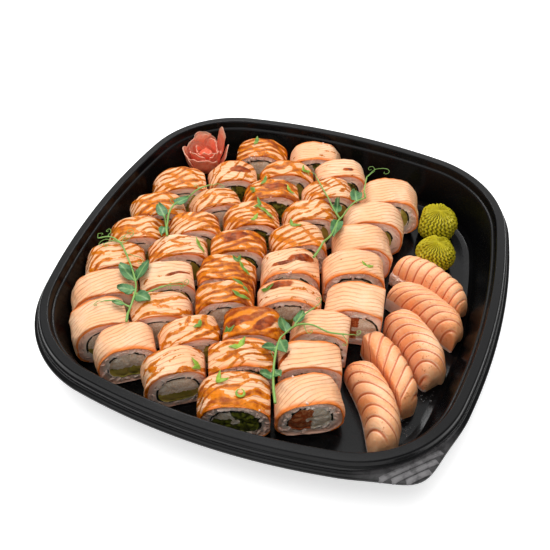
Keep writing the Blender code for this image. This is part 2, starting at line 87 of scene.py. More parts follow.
# Rolls by column, front first: place of the middle, turn from facing the front edge, width, length
ROLL_HEIGHT = 35.5
SHOULDER = 11.0
FOOT_ROUND = 11.0
ARCH_POWER = 0.8
ROLL_COLUMNS = {
    "a": [(-70, -101, 35, 42, 23), (-92, -90, 40, 44, 27), (-104, -66, 35, 48, 25), (-110, -41, 30, 45, 28),
          (-108, -11, 30, 44, 28), (-106, 18, 35, 43, 29), (-102, 48, 30, 45, 29)],
    "b": [(-33, -107, 35, 42, 24), (-35, -81, 40, 43, 24), (-61, -70, 25, 45, 26), (-68, -45, 30, 44, 27),
          (-73, -18, 30, 46, 26), (-72, 8, 30, 42, 26), (-67, 37, 35, 42, 26), (-67, 70, 25, 42, 26),
          (-58, 107, 15, 44, 23)],
    "c": [(10, -113, 20, 47, 26), (3, -88, 25, 48, 22), (0, -62, 20, 46, 25), (-26, -45, 25, 43, 22),
          (-34, -24, 15, 43, 26), (-36, 1, 25, 44, 26), (-37, 31, 25, 44, 27), (-33, 63, 25, 46, 23),
          (-30, 89, 20, 46, 19), (-16, 118, 20, 43, 23)],
    "d": [(50, -98, 28, 43, 22), (44, -74, 20, 48, 23), (44, -48, 10, 44, 22), (14, -30, 20, 44, 19),
          (6, -4, 20, 44, 25), (2, 23, 30, 42, 25), (2, 51, 25, 43, 26), (9, 76, 30, 43, 24),
          (9, 104, 25, 43, 24)],
    "e": [(59, -20, 10, 47, 27), (47, 10, 20, 46, 25), (46, 36, 20, 43, 28), (47, 64, 15, 46, 27),
          (52, 91, 20, 45, 28)],
}
ROLL_AROUND = 80
ROLL_ALONG = 50
CORE_HEIGHT = 16.0
END_DROP = 0.045
FACE_GRAINS = 46

# Looks of each roll: share under sauce, slant of its stripes, their spacing, darkness, searing, filling
ROLL_LOOKS = {
    "a1": (0.02, 10, 6.0, 0.0, 0.15, "avocado"), "a2": (0.02, 10, 6.0, 0.0, 0.15, "avocado"),
    "a3": (0.04, 10, 6.0, 0.0, 0.15, "avocado"), "a4": (0.50, 20, 6.0, 0.1, 0.2, "cheese"),
    "a5": (0.60, 14, 5.5, 0.2, 0.2, "cheese"), "a6": (0.60, 16, 5.5, 0.2, 0.2, "cheese"),
    "a7": (0.60, 14, 5.5, 0.2, 0.3, "cheese"),
    "b1": (0.40, 12, 7.0, 0.1, 0.2, "avocado"), "b2": (0.52, 24, 7.0, 0.1, 0.3, "cheese"),
    "b3": (0.34, 14, 9.0, 0.1, 0.2, "cheese"), "b4": (0.26, 12, 9.0, 0.1, 0.2, "cheese"),
    "b5": (0.50, 18, 5.5, 0.2, 0.3, "cheese"), "b6": (0.62, 24, 6.0, 0.2, 0.3, "cheese"),
    "b7": (0.46, 30, 5.5, 0.2, 0.3, "cheese"), "b8": (0.38, 60, 8.0, 0.2, 0.3, "greens"),
    "b9": (0.82, 6, 6.0, 0.3, 0.3, "avocado"),
    "c1": (0.58, 16, 6.5, 0.15, 0.3, "greens"), "c2": (0.46, 14, 5.5, 0.15, 0.3, "cheese"),
    "c3": (1.05, 30, 8.0, 0.4, 0.6, "cheese"), "c4": (0.84, 8, 6.0, 0.4, 0.6, "cheese"),
    "c5": (0.82, 10, 5.5, 0.3, 0.6, "greens"), "c6": (0.80, 8, 6.0, 0.4, 0.5, "greens"),
    "c7": (0.62, 14, 5.5, 0.3, 0.4, "greens"), "c8": (0.86, 6, 6.5, 0.4, 0.5, "greens"),
    "c9": (0.60, 8, 8.0, 0.1, 0.6, "cheese"), "c10": (0.22, 10, 9.0, 0.0, 0.5, "greens"),
    "d1": (0.02, 8, 6.0, 0.0, 0.2, "salmon"), "d2": (0.10, 34, 14.0, 0.0, 0.2, "cheese"),
    "d3": (0.06, 10, 9.0, 0.0, 0.2, "cheese"), "d4": (0.22, 8, 9.0, 0.1, 0.4, "avocado"),
    "d5": (0.20, 12, 10.0, 0.2, 0.3, "cheese"), "d6": (0.50, 16, 5.5, 0.2, 0.5, "cheese"),
    "d7": (0.56, 22, 6.5, 0.2, 0.4, "cheese"), "d8": (0.50, 14, 5.0, 0.2, 0.4, "cheese"),
    "d9": (0.12, 8, 9.0, 0.1, 0.3, "greens"),
    "e1": (0.03, 14, 6.0, 0.0, 0.4, "salmon"), "e2": (0.10, 14, 7.0, 0.0, 0.9, "cheese"),
    "e3": (0.03, 8, 6.0, 0.0, 0.7, "cheese"), "e4": (0.03, 8, 6.0, 0.0, 0.4, "cheese"),
    "e5": (0.06, 8, 6.0, 0.0, 0.5, "cheese"),
}
# Pools of thick sauce: middle as shares of the reach across and of half the roll, half sizes, turn
POOL_REACH = 26.0
POOLS = {
    "d5": [(0.30, -0.10, 9.0, 3.2, 8), (-0.15, 0.25, 9.0, 1.8, 16)],
    "b8": [(0.20, -0.10, 7.5, 3.4, 0)],
    "d4": [(-0.25, -0.50, 9.0, 3.0, 4)],
    "d9": [(0.20, 0.30, 4.0, 1.8, 10)],
    "c6": [(0.0, -0.30, 8.0, 3.4, 20)],
    "c3": [(0.35, 0.10, 8.0, 3.6, 40), (-0.3, 0.0, 7.0, 3.0, 30)],
    "c8": [(0.15, -0.10, 9.0, 2.4, 6)],
    "b4": [(0.35, 0.10, 8.0, 1.3, 12)],
    "d2": [(-0.75, 0.10, 8.0, 1.4, 40)],
}

# Spring onion slivers: roll, place as shares of its half sizes, turn, length, kink, darkness
SLIVER_WIDTH = 2.9
SLIVER_ALONG = 21
SLIVER_ACROSS = 9
RING_KINK = 200
SLIVERS = [
    ("b9", -0.22, -0.45, 80, 10, 20, 0.5), ("c8", -0.23, -0.52, 60, 10, 30, 0.6),
    ("c8", -0.62, 0.07, 100, 8, 40, 0.7), ("c7", 0.25, -0.60, 70, 13, 60, 0.4),
    ("c7", 0.50, 0.00, -40, 15, -30, 0.4), ("c7", 0.10, 0.55, 50, 9, 20, 0.1),
    ("d6", -0.07, -0.60, -50, 12, 80, 0.4), ("b5", 0.70, -0.02, -70, 13, 10, 0.2),
    ("c9", 0.62, 0.05, -30, 10, 120, 0.1), ("c8", 0.60, 0.25, -60, 9, 40, 0.0),
    ("c5", 0.35, -0.50, 20, 9, 110, 0.8), ("c5", 0.60, 0.00, -45, 11, 20, 0.2),
    ("c4", 0.55, -0.40, -40, 14, -30, 0.7), ("c4", 0.50, 0.45, -20, 12, 25, 0.5),
    ("d4", -0.65, -0.35, 0, 9, 60, 0.8), ("b2", 0.30, 0.03, 35, 9, 60, 0.2),
    ("c3", -0.60, 0.50, -20, 11, 130, 0.8), ("c2", -0.03, -0.45, 30, 14, 60, 0.0),
    ("b1", 0.60, 0.55, 80, 11, 90, 0.2), ("c1", -0.35, -0.50, -50, 13, 110, 0.0),
    ("c1", 0.14, 0.32, -10, 14, 345, 0.1), ("e2", 0.35, 0.40, -20, 9, 60, 0.2),
]

# Nigiri: place of the middle, turn, length, width, height, sideways bend, groove spacing and slant, whether
# bare rice shows on its side
NIGIRI = [(99, 27, 64, 60, 27, 26, 5, 6.0, -0.1, True), (101, 2, 66, 58, 27, 26, 5, 6.8, -1.15, True),
          (101, -27, 44, 56, 27, 25, 4, 7.2, -1.0, False), (88, -53, 42, 60, 28, 25, 5, 9.0, 0.9, False),
          (87, -80, 32, 62, 28, 24, 6, 8.4, -1.1, False)]
NIGIRI_ALONG = 176
NIGIRI_AROUND = 50

# Wasabi: place, radius, height. Ginger: place and petals round a core
WASABI_RIDGES = 26
WASABI_DOWN = 76
WASABI_AROUND = 192
WASABI = [(90, 93, 14.5, 24.0), (96, 61, 13.5, 22.0)]
GINGER_PLACE = (-106, 102)
GINGER_SPREAD = 38.0
GINGER_CORE_RADIUS = 7.0
CORE_UP = 40
CORE_AROUND = 80
PETAL_UP = 26
PETAL_AROUND = 44
# Ginger petals: direction in degrees, half spread, distance out, top height, lean outward, point of the crest
GINGER_PETALS = [
    (275, 72, 15.0, 22.5, 0.5, 0.0), (150, 60, 15.5, 32.0, 2.0, -0.3), (56, 22, 14.0, 37.0, 4.0, 0.0),
    (15, 26, 15.5, 25.5, 3.0, 0.2), (100, 36, 13.5, 28.0, 1.5, 0.1), (215, 48, 16.5, 26.5, 1.0, -0.3),
    (245, 62, 11.8, 25.5, 0.5, 0.2), (345, 44, 12.0, 25.0, 0.6, -0.2), (165, 50, 11.5, 27.5, 0.6, 0.0),
    (60, 70, 9.8, 27.0, -0.6, 0.1), (300, 74, 9.4, 25.0, -0.8, -0.1), (190, 66, 8.2, 26.0, -1.4, 0.2),
]

# Pea shoots: stem route across the tray, side stalks, leaves as (place, direction, length, width), tendrils
STEM_RADIUS = 0.85
STALK_RADIUS = 0.7
TENDRIL_RADIUS = 0.28
TENDRIL_STEPS = 60
TENDRIL_TOP = 43.0
LEAF_ALONG = 20
LEAF_ACROSS = 13
SHOOTS = [
    {"stem": [(-72, -92), (-76, -81), (-80, -65), (-87, -54), (-97, -43), (-108, -32)],
     "stalks": [[(-80, -69), (-70, -65), (-60, -56)], [(-77, -79), (-86, -79), (-93, -82)],
                [(-108, -32), (-118, -29), (-126, -33)]],
     "leaves": [(-91, -54, 125, 16, 9), (-84, -50, 80, 16, 9), (-82, -66, 200, 12, 8),
                (-77, -70, 350, 13, 8), (-84, -80, 180, 8, 5)],
     "tendrils": [(-108, -32, 170, 26, 1), (-108, -32, 110, 20, -1), (-108, -32, 60, 24, 1),
                  (-104, -36, 150, 20, -1), (-112, -31, 200, 16, 1), (-120, -30, 90, 15, 1),
                  (-100, -40, 20, 22, -1), (-126, -33, 130, 12, -1), (-93, -82, 200, 12, 1),
                  (-60, -56, 10, 22, 1), (-66, -62, 60, 16, -1), (-60, -56, 50, 16, -1)]},
    {"stem": [(-82, -14), (-88, -3), (-92, 12), (-91, 24), (-85, 36), (-76, 46)],
     "stalks": [[(-88, -4), (-94, 6)]],
     "leaves": [(-97, 8, 110, 15, 8), (-90, 24, 60, 15, 8), (-88, -7, 290, 14, 7)],
     "tendrils": [(-76, 46, 40, 18, -1), (-92, 12, 200, 14, 1), (-92, 18, 160, 12, -1),
                  (-82, 40, 120, 10, 1)]},
    {"stem": [(20, 3), (22, 20), (24, 38), (25, 52), (29, 65), (37, 73)],
     "stalks": [[(24, 50), (12, 62), (-4, 82)], [(37, 73), (33, 86), (31, 100)]],
     "leaves": [(20, 58, 110, 12, 7), (25, 41, 270, 15, 9), (29, 76, 100, 14, 9)],
     "tendrils": [(31, 100, 80, 34, -1), (31, 100, 60, 24, 1), (-4, 82, 120, 14, 1)]},
    {"stem": [(35, -113), (29, -100), (24, -84), (22, -70), (26, -58), (38, -55), (50, -57), (60, -54)],
     "stalks": [[(27, -56), (30, -49), (35, -41)]],
     "leaves": [(20, -57, 110, 11, 8), (28, -51, 60, 10, 7), (18, -79, 250, 10, 6),
                (26, -75, 280, 12, 7), (30, -95, 300, 8, 6), (22, -98, 200, 8, 5)],
     "tendrils": [(60, -54, 10, 16, 1), (56, -55, -20, 14, -1), (35, -41, 60, 16, 1), (24, -84, 150, 10, -1),
                  (33, -56, -70, 14, 1)]},
]

# Lights that look at the tray's middle: name, place, width, depth, power
LIGHTS = [
    ("key", (-0.25, 1.15, 1.35), 2.2, 1.5, 15.0), ("glint", (-0.45, 0.75, 1.1), 0.22, 0.22, 3.2),
    ("top", (-0.3, -0.1, 1.7), 1.6, 1.6, 19.0), ("fill", (0.2, -1.3, 0.45), 1.2, 0.8, 3.0),
]
FLOOR_REACH = 4000.0

# Mottled materials: roughness, noise of the mottling, its limits, the two colours that it mixes, colours laid
# over them by an attribute, noise of the bump, its distance and strength, softness
MOTTLED = {
    "rice": {"roughness": 0.38, "mottle": (90, 2), "limits": (0.35, 0.65),
             "colours": ((250, 224, 206), (255, 240, 226)), "over": [("blush", 0.85, (246, 186, 158))],
             "grain": (900, 2), "bump": (0.0001, 0.5), "soft": (0.15, (1.0, 0.8, 0.6))},
    "nori": {"roughness": 0.55, "mottle": (600, 3), "colours": ((14, 20, 16), (40, 46, 34)),
             "grain": (800, 3), "bump": (0.0002,)},
    "cream_cheese": {"roughness": 0.45, "mottle": (320, 4, 2.5), "limits": (0.38, 0.62),
                     "colours": ((232, 210, 180), (255, 246, 228)),
                     "grain": (400, 3, 1.0), "bump": (0.0004,), "soft": (0.1, (1.0, 0.9, 0.7))},
    "avocado": {"roughness": 0.35, "mottle": (120, 2), "limits": (0.35, 0.65),
                "colours": ((160, 150, 60), (204, 184, 92)), "grain": (500, 3), "bump": (0.0002,)},
    "greens": {"roughness": 0.4, "mottle": (420, 3), "limits": (0.4, 0.6),
               "colours": ((60, 66, 26), (132, 136, 48)), "grain": (350, 3), "bump": (0.0008,)},
    "salmon_strip": {"roughness": 0.35, "mottle": (260, 2, 2.0), "limits": (0.45, 0.6),
                     "colours": ((176, 80, 34), (206, 132, 86)), "grain": (500, 2), "bump": (0.0002,)},
    "spring_onion": {"roughness": 0.38, "mottle": (150, 2), "limits": (0.35, 0.65),
                     "colours": ((98, 142, 24), (148, 182, 46)),
                     "over": [("shade", 1.0, (34, 92, 24)), ("pale", 0.7, (206, 222, 110))],
                     "grain": (900, 2), "bump": (0.0001,)},
    # Wasabi's groove colour is painted shade in the recesses between the piped ridges
    "wasabi": {"roughness": 0.55, "mottle": (200, 3), "limits": (0.35, 0.65),
               "colours": ((188, 174, 10), (206, 192, 30)), "over": [("groove", 1.0, (96, 88, 0))],
               "grain": (900, 3), "bump": (0.00025,), "soft": (0.08, (0.8, 1.0, 0.3))},
    "pickled_ginger": {"roughness": 0.32, "mottle": (180, 3, 1.5), "limits": (0.40, 0.70),
                       "colours": ((246, 126, 94), (254, 160, 128)), "over": [("pale", 1.0, (255, 200, 172))],
                       "grain": (500, 3), "bump": (0.0002,), "soft": (0.35, (1.0, 0.4, 0.3), 0.005)},
    "pea_leaf": {"roughness": 0.42, "mottle": (160, 3), "limits": (0.35, 0.65),
                 "colours": ((52, 100, 56), (84, 132, 76)), "over": [("pale", 1.0, (136, 170, 110))],
                 "grain": (700, 3), "bump": (0.00012,)},
    "pea_stem": {"roughness": 0.4, "mottle": (120, 2), "colours": ((104, 150, 62), (146, 184, 96)),
                 "grain": (900, 2), "bump": (0.00008,)},
}


def srgb(red, green, blue):
    """Linear colour with alpha from 0-255 display values."""
    parts = []
    for value in (red, green, blue):
        share = value / 255.0
        parts.append(share / 12.92 if share <= 0.04045 else ((share + 0.055) / 1.055) ** 2.4)
    return (*parts, 1.0)


def unit(values):
    """Values kept between 0 and 1."""
    return np.clip(values, 0, 1)


# Materials

def math_node(operation):
    """Method that adds a Math node of the operation to a look."""
    def call(look, first, second=0.0):
        made = look.node("ShaderNodeMath", operation=operation)
        look.feed(made.inputs[0], first)
        look.feed(made.inputs[1], second)
        return made.outputs[0]
    return call


class Look:
    """One Principled material and short calls for its nodes."""

    plus = math_node("ADD")
    minus = math_node("SUBTRACT")
    times = math_node("MULTIPLY")
    larger = math_node("MAXIMUM")
    sine = math_node("SINE")
    size = math_node("ABSOLUTE")
    fraction = math_node("FRACT")

    def __init__(self, name, roughness=0.5):
        self.material = bpy.data.materials.new(name)
        self.material.use_nodes = True
        self.tree = self.material.node_tree
        self.shader = self.tree.nodes["Principled BSDF"]
        self.shader.inputs["Roughness"].default_value = roughness
        self.place = self.node("ShaderNodeTexCoord").outputs["Object"]

    def node(self, kind, **settings):
        made = self.tree.nodes.new(kind)
        for key, value in settings.items():
            setattr(made, key, value)
        return made

    def feed(self, socket, value):
        if isinstance(value, bpy.types.NodeSocket):
            self.tree.links.new(value, socket)
        else:
            socket.default_value = value

    def mix(self, share, first, second):
        made = self.node("ShaderNodeMix", data_type="RGBA")
        self.feed(made.inputs["Factor"], share)
        self.feed(made.inputs["A"], first)
        self.feed(made.inputs["B"], second)
        for socket in made.outputs:
            if socket.type == "RGBA":
                return socket

    def ease(self, value, low, high, start=0.0, end=1.0):
        """Smooth step of a value from start to end between low and high."""
        made = self.node("ShaderNodeMapRange", interpolation_type="SMOOTHSTEP")
        self.feed(made.inputs["Value"], value)
        for key, number in zip(("From Min", "From Max", "To Min", "To Max"), (low, high, start, end)):
            self.feed(made.inputs[key], number)
        return made.outputs["Result"]

    def noise(self, scale, detail=2.0, distortion=0.0, roughness=0.5):
        made = self.node("ShaderNodeTexNoise")
        self.feed(made.inputs["Vector"], self.place)
        made.inputs["Scale"].default_value = scale
        made.inputs["Detail"].default_value = detail
        made.inputs["Roughness"].default_value = roughness
        made.inputs["Distortion"].default_value = distortion
        return made.outputs["Fac"]

    def patches(self, scale, detail, low, high, start=0.0, end=1.0):
        """Noise eased between two limits."""
        return self.ease(self.noise(scale, detail), low, high, start, end)

    def value(self, name):
        return self.node("ShaderNodeAttribute", attribute_name=name).outputs["Fac"]

    def vector(self, name):
        made = self.node("ShaderNodeAttribute", attribute_name=name)
        split = self.node("ShaderNodeSeparateXYZ")
        self.feed(split.inputs[0], made.outputs["Vector"])
        return split.outputs

    def bump(self, height, distance, strength=1.0):
        made = self.node("ShaderNodeBump")
        made.inputs["Strength"].default_value = strength
        made.inputs["Distance"].default_value = distance
        self.feed(made.inputs["Height"], height)
        self.feed(self.shader.inputs["Normal"], made.outputs["Normal"])

    def colour(self, value):
        self.feed(self.shader.inputs["Base Color"], value)

    def roughness(self, value):
        self.feed(self.shader.inputs["Roughness"], value)

    def soft(self, weight, radius, scale=0.003):
        self.shader.inputs["Subsurface Weight"].default_value = weight
        self.shader.inputs["Subsurface Radius"].default_value = radius
        self.shader.inputs["Subsurface Scale"].default_value = scale


def fibre_lines(look, phase, width):
    """Thin lines where the phase passes a whole number, wandering slightly."""
    wander = look.times(look.noise(100, 3), 0.6)
    turned = look.fraction(look.plus(phase, wander))
    centred = look.size(look.minus(turned, 0.5))
    return look.ease(centred, width, 0.0)


def salmon_roll_look():
    """Blanched salmon: pale peach with painted shade along the fibre grooves, orange edges, sauce stripes and
    sear specks.
    """
    look = Look("salmon_roll")
    look.shader.inputs["Specular IOR Level"].default_value = 0.32
    look.shader.inputs["Specular Tint"].default_value = (1.0, 0.72, 0.42, 1.0)
    fibre, tone, edge = look.vector("flesh")
    phase, cover, pool = look.vector("sauce")
    crossing = look.value("crossing")
    patch = look.patches(55, 3, 0.35, 0.70)
    base = look.mix(patch, srgb(247, 191, 146), srgb(251, 210, 173))
    base = look.mix(look.times(tone, 0.5), base, srgb(242, 168, 112))
    # Painted shade along the fibre grooves, which the cover's shape and the bump also carve
    lines = fibre_lines(look, fibre, 0.16)
    strength = look.patches(70, 2, 0.28, 0.60, 0.25, 1.0)
    base = look.mix(look.times(lines, strength), base, srgb(210, 134, 92))
    base = look.mix(look.times(edge, 0.85), base, srgb(238, 120, 22))
    blotch = look.noise(260, 3)
    wave = look.sine(look.times(phase, 2 * math.pi))
    second = look.sine(look.times(crossing, 2 * math.pi))
    wave = look.larger(wave, look.minus(look.times(second, 1.3), 0.7))
    ragged = look.times(look.minus(look.noise(170, 4, roughness=0.6), 0.5), 3.2)
    flow = look.plus(wave, ragged)
    level = look.plus(flow, look.times(cover, 2.7))
    stripes = look.ease(level, 1.66, 1.92)
    stripes = look.times(stripes, look.ease(cover, 0.0, 0.08))
    pooled = look.ease(look.plus(pool, look.times(blotch, 0.3)), 0.45, 0.62)
    wet = look.larger(stripes, pooled)
    depth = look.ease(look.plus(flow, level), 1.7, 4.7)
    amber = look.mix(depth, srgb(230, 128, 8), srgb(150, 58, 0))
    amber = look.mix(look.patches(330, 3, 0.48, 0.72, 0.0, 0.30), amber, srgb(242, 158, 60))
    thick = look.mix(look.patches(180, 2, 0.4, 0.6), srgb(168, 66, 2), srgb(112, 30, 0))
    amber = look.mix(pooled, amber, thick)
    base = look.mix(look.times(wet, look.ease(blotch, 0.3, 0.6, 0.93, 1.0)), base, amber)
    specks = look.patches(900, 2, 0.66, 0.74)
    scatter = look.times(specks, look.patches(60, 1, 0.45, 0.65))
    seared = look.times(scatter, look.value("sear"))
    base = look.mix(seared, base, srgb(110, 52, 20))
    look.colour(base)
    look.roughness(look.mix(wet, (0.44, 0.44, 0.44, 1.0), (0.13, 0.13, 0.13, 1.0)))
    fine = look.sine(look.times(fibre, 8 * math.pi))
    fine = look.times(fine, look.patches(110, 2, 0.4, 0.65, 0.0, 0.22))
    relief = look.plus(look.times(lines, -0.5), look.noise(650, 4, roughness=0.65))
    relief = look.plus(relief, fine)
    relief = look.plus(relief, look.times(wet, 1.2))
    look.bump(relief, 0.00028, 0.85)
    look.soft(0.12, (1.0, 0.35, 0.2))
    return look.material


def nigiri_look():
    """Torched salmon: orange with painted shade in the grooves, painted highlight on the lips beside them,
    and brown specks.
    """
    look = Look("salmon_nigiri", 0.40)
    phase, away, tone = look.vector("flesh")
    turned = look.size(look.minus(look.fraction(phase), 0.5))
    # Painted shade in the grooves and painted highlight on the lips beside them
    groove = look.times(look.ease(turned, 0.15, 0.0), away)
    lip = look.ease(look.size(look.minus(turned, 0.14)), 0.07, 0.0)
    lip = look.times(lip, away)
    patch = look.patches(60, 3, 0.32, 0.70)
    base = look.mix(patch, srgb(252, 178, 124), srgb(255, 200, 154))
    base = look.mix(look.times(tone, 0.75), base, srgb(244, 150, 84))
    streak = look.noise(500, 2)
    base = look.mix(look.ease(streak, 0.5, 0.7, 0.0, 0.25), base, srgb(252, 205, 165))
    # Painted highlight on the lips, then painted shade in the grooves
    base = look.mix(look.times(lip, look.value("pale")), base, srgb(255, 214, 184))
    base = look.mix(groove, base, srgb(204, 106, 62))
    specks = look.patches(600, 2, 0.60, 0.72)
    scatter = look.times(specks, look.patches(70, 1, 0.46, 0.62, 0.0, 0.8))
    base = look.mix(scatter, base, srgb(200, 106, 44))
    look.colour(base)
    look.roughness(look.patches(300, 2, 0.3, 0.7, 0.34, 0.5))
    look.bump(look.plus(look.noise(700, 3), look.times(streak, 0.6)), 0.00045, 0.9)
    look.soft(0.12, (1.0, 0.35, 0.2))
    return look.material


def mottled_look(name, roughness, mottle, colours, grain, bump, limits=None, over=(), soft=None):
    """Material that mixes two colours by noise, with others laid over them where attributes say."""
    look = Look(name, roughness)
    share = look.noise(*mottle)
    if limits:
        share = look.ease(share, *limits)
    base = look.mix(share, srgb(*colours[0]), srgb(*colours[1]))
    for attribute, weight, colour in over:
        amount = look.value(attribute)
        if weight < 1.0:
            amount = look.times(amount, weight)
        base = look.mix(amount, base, srgb(*colour))
    look.colour(base)
    look.bump(look.noise(*grain), *bump)
    if soft:
        look.soft(*soft)
    return look.material


def tray_look():
    """Black moulded plastic with faint scuffs and dust, and grey painted reflection with scuffs on the flange
    and tab near the front right corner.
    """
    look = Look("black_plastic", 0.3)
    look.shader.inputs["Specular IOR Level"].default_value = 0.15
    base = look.mix(look.patches(40, 4, 0.5, 0.8), srgb(8, 8, 9), srgb(16, 16, 18))
    # Grey on the flange and tab near the front right corner: scuffs and painted reflection of the lamps
    worn = look.times(look.value("scuff"), look.patches(250, 4, 0.3, 0.6, 0.5, 1.0))
    look.colour(look.mix(worn, base, srgb(122, 120, 121)))
    scuff = look.ease(look.noise(900, 4, roughness=0.7), 0.55, 0.75)
    look.roughness(look.ease(look.plus(scuff, look.noise(30, 3)), 0.45, 1.2, 0.17, 0.46))
    look.bump(look.noise(1500, 3), 0.00006, 0.4)
    return look.material


def water_look():
    look = Look("water", 0.05)
    look.colour(srgb(200, 200, 200))
    look.shader.inputs["Transmission Weight"].default_value = 0.9
    look.shader.inputs["IOR"].default_value = 1.33
    return look.material


def floor_look():
    look = Look("studio_floor", 0.6)
    look.shader.inputs["Emission Color"].default_value = (1.0, 1.0, 1.0, 1.0)
    look.shader.inputs["Emission Strength"].default_value = 0.52
    look.colour(look.mix(look.noise(3, 1), (0.90, 0.90, 0.90, 1.0), (0.91, 0.91, 0.91, 1.0)))
    return look.material


# Meshes

class Shape:
    """Points in millimetres with faces, slots and attributes, gathered from several patches."""

    def __init__(self):
        self.points = []
        self.faces = {3: [], 4: []}
        self.slots = {3: [], 4: []}
        self.attributes = {}
        self.count = 0

    def add(self, points, faces, slots, **attributes):
        """Adds a patch; slots is one number or one for each face."""
        points = np.asarray(points, float).reshape(-1, 3)
        faces = np.asarray(faces, int)
        size = faces.shape[1]
        self.points.append(points)
        self.faces[size].append(faces + self.count)
        self.slots[size].append(np.broadcast_to(np.asarray(slots, int), (len(faces),)))
        for name, values in attributes.items():
            values = np.asarray(values, float)
            width = values.shape[-1] if values.ndim > 1 else 1
            part = (self.count, len(points), values.reshape(-1, width))
            self.attributes.setdefault(name, []).append(part)
        self.count += len(points)

    def close(self, loop, flip, slot, **attributes):
        """Fan of triangles from a closed loop to its middle."""
        here = np.arange(len(loop))
        beside = (here + 1) % len(loop)
        middle = np.full(len(loop), len(loop))
        order = (here, beside, middle) if flip else (beside, here, middle)
        self.add(np.concatenate([loop, loop.mean(0)[None]]), np.stack(order, -1), slot, **attributes)

    def close_sheet(self, rows, columns):
        """Closes the first and last rows of the doubled sheet that was added last."""
        for row, order in ((0, 1), (rows - 1, -1)):
            here = self.count + (row - rows) * columns * 2 + np.arange(columns - 1)
            there = here + 2 * (columns - np.arange(columns - 1)) - 1
            strip = np.stack([here, here + 1, there - 1, there], -1)
            self.faces[4].append(strip[:, ::order])
            self.slots[4].append(np.zeros(len(strip), int))

    def finish(self, name, materials):
        mesh = bpy.data.meshes.new(name)
        corners, sizes, slots = [], [], []
        for size in (3, 4):
            if self.faces[size]:
                joined = np.concatenate(self.faces[size])
                corners.append(joined.ravel())
                sizes.append(np.full(len(joined), size))
                slots.append(np.concatenate(self.slots[size]))
        corners = np.concatenate(corners)
        sizes = np.concatenate(sizes)
        mesh.vertices.add(self.count)
        mesh.vertices.foreach_set("co", (np.concatenate(self.points) * MM).ravel())
        mesh.loops.add(len(corners))
        mesh.loops.foreach_set("vertex_index", corners)
        mesh.polygons.add(len(sizes))
        mesh.polygons.foreach_set("loop_start", np.concatenate([[0], np.cumsum(sizes)[:-1]]))
        mesh.polygons.foreach_set("material_index", np.concatenate(slots))
        mesh.polygons.foreach_set("use_smooth", np.ones(len(sizes), bool))
        mesh.update(calc_edges=True)
        for key, parts in self.attributes.items():
            width = parts[0][2].shape[1]
            values = np.zeros((self.count, width))
            for start, length, part in parts:
                values[start:start + length] = part
            kind = "FLOAT" if width == 1 else "FLOAT_VECTOR"
            layer = mesh.attributes.new(key, kind, "POINT")
            layer.data.foreach_set("value" if width == 1 else "vector", values.ravel())
        made = bpy.data.objects.new(name, mesh)
        for one in materials:
            mesh.materials.append(one)
        bpy.context.scene.collection.objects.link(made)
        return made


def tube_faces(rows, columns):
    """Quads of a tube of closed loops, facing along the row's direction crossed with the loop's."""
    row, column = np.meshgrid(np.arange(rows - 1), np.arange(columns), indexing="ij")
    here = row * columns + column
    beside = row * columns + (column + 1) % columns
    return np.stack([here, here + columns, beside + columns, beside], -1).reshape(-1, 4)


def sheet_faces(rows, columns):
    """Quads of an open grid."""
    row, column = np.meshgrid(np.arange(rows - 1), np.arange(columns - 1), indexing="ij")
    here = row * columns + column
    return np.stack([here, here + columns, here + columns + 1, here + 1], -1).reshape(-1, 4)


def lumps(points, scale, seed):
    """Smooth random field, about -1 to 1, at points in millimetres."""
    draw = np.random.default_rng(seed)
    total = np.zeros(points.shape[:-1])
    for _ in range(7):
        direction = draw.normal(size=3)
        direction /= np.linalg.norm(direction)
        total += np.sin(points @ direction * (2 * math.pi / (scale * draw.uniform(0.7, 1.5)))
                        + draw.uniform(0, 2 * math.pi))
    return total / 3.0


# Pressing of neighbours, as in the solids

def piece_axes(turn):
    angle = math.radians(turn)
    return np.array([math.cos(angle), math.sin(angle)]), np.array([math.sin(angle), -math.cos(angle)])


def in_tray(piece, x, y, height):
    """Points given across and along a piece, at the piece's place in the tray."""
    across, along = piece_axes(piece["turn"])
    flat = np.array([piece["x"], piece["y"]]) + x[..., None] * across + y[..., None] * along
    return np.concatenate([flat, height[..., None]], -1)


def contact_planes(piece, pieces):
    """Planes where a piece meets its neighbours: the direction toward each, and how far along it."""
    planes = []
    across, along = piece_axes(piece["turn"])
    here = np.array([piece["x"], piece["y"]])
    for other in pieces:
        if other is piece:
            continue
        offset = np.array([other["x"], other["y"]]) - here
        other_across, other_along = piece_axes(other["turn"])
        best = None
        for axis in (across, along, other_across, other_along):
            toward = axis if offset @ axis > 0 else -axis
            mine = abs(across @ toward) * piece["width"] / 2 + abs(along @ toward) * piece["length"] / 2
            theirs = (abs(other_across @ toward) * other["width"] / 2
                      + abs(other_along @ toward) * other["length"] / 2)
            apart = offset @ toward - mine - theirs
            if best is None or apart > best[0]:
                best = (apart, toward, mine)
        apart, toward, mine = best
        if apart < 3.0:
            planes.append((toward, here @ toward + mine + apart / 2 - GAP / 2))
    return planes


def corner_arc():
    side = RIM_HALF - SIDE_BOW
    spread = math.sqrt((SIDE_BOW - RIM_CORNER) ** 2 - side ** 2 / 2)
    centre = side / 2 + spread / math.sqrt(2)
    return centre, math.atan2(centre, centre - side)


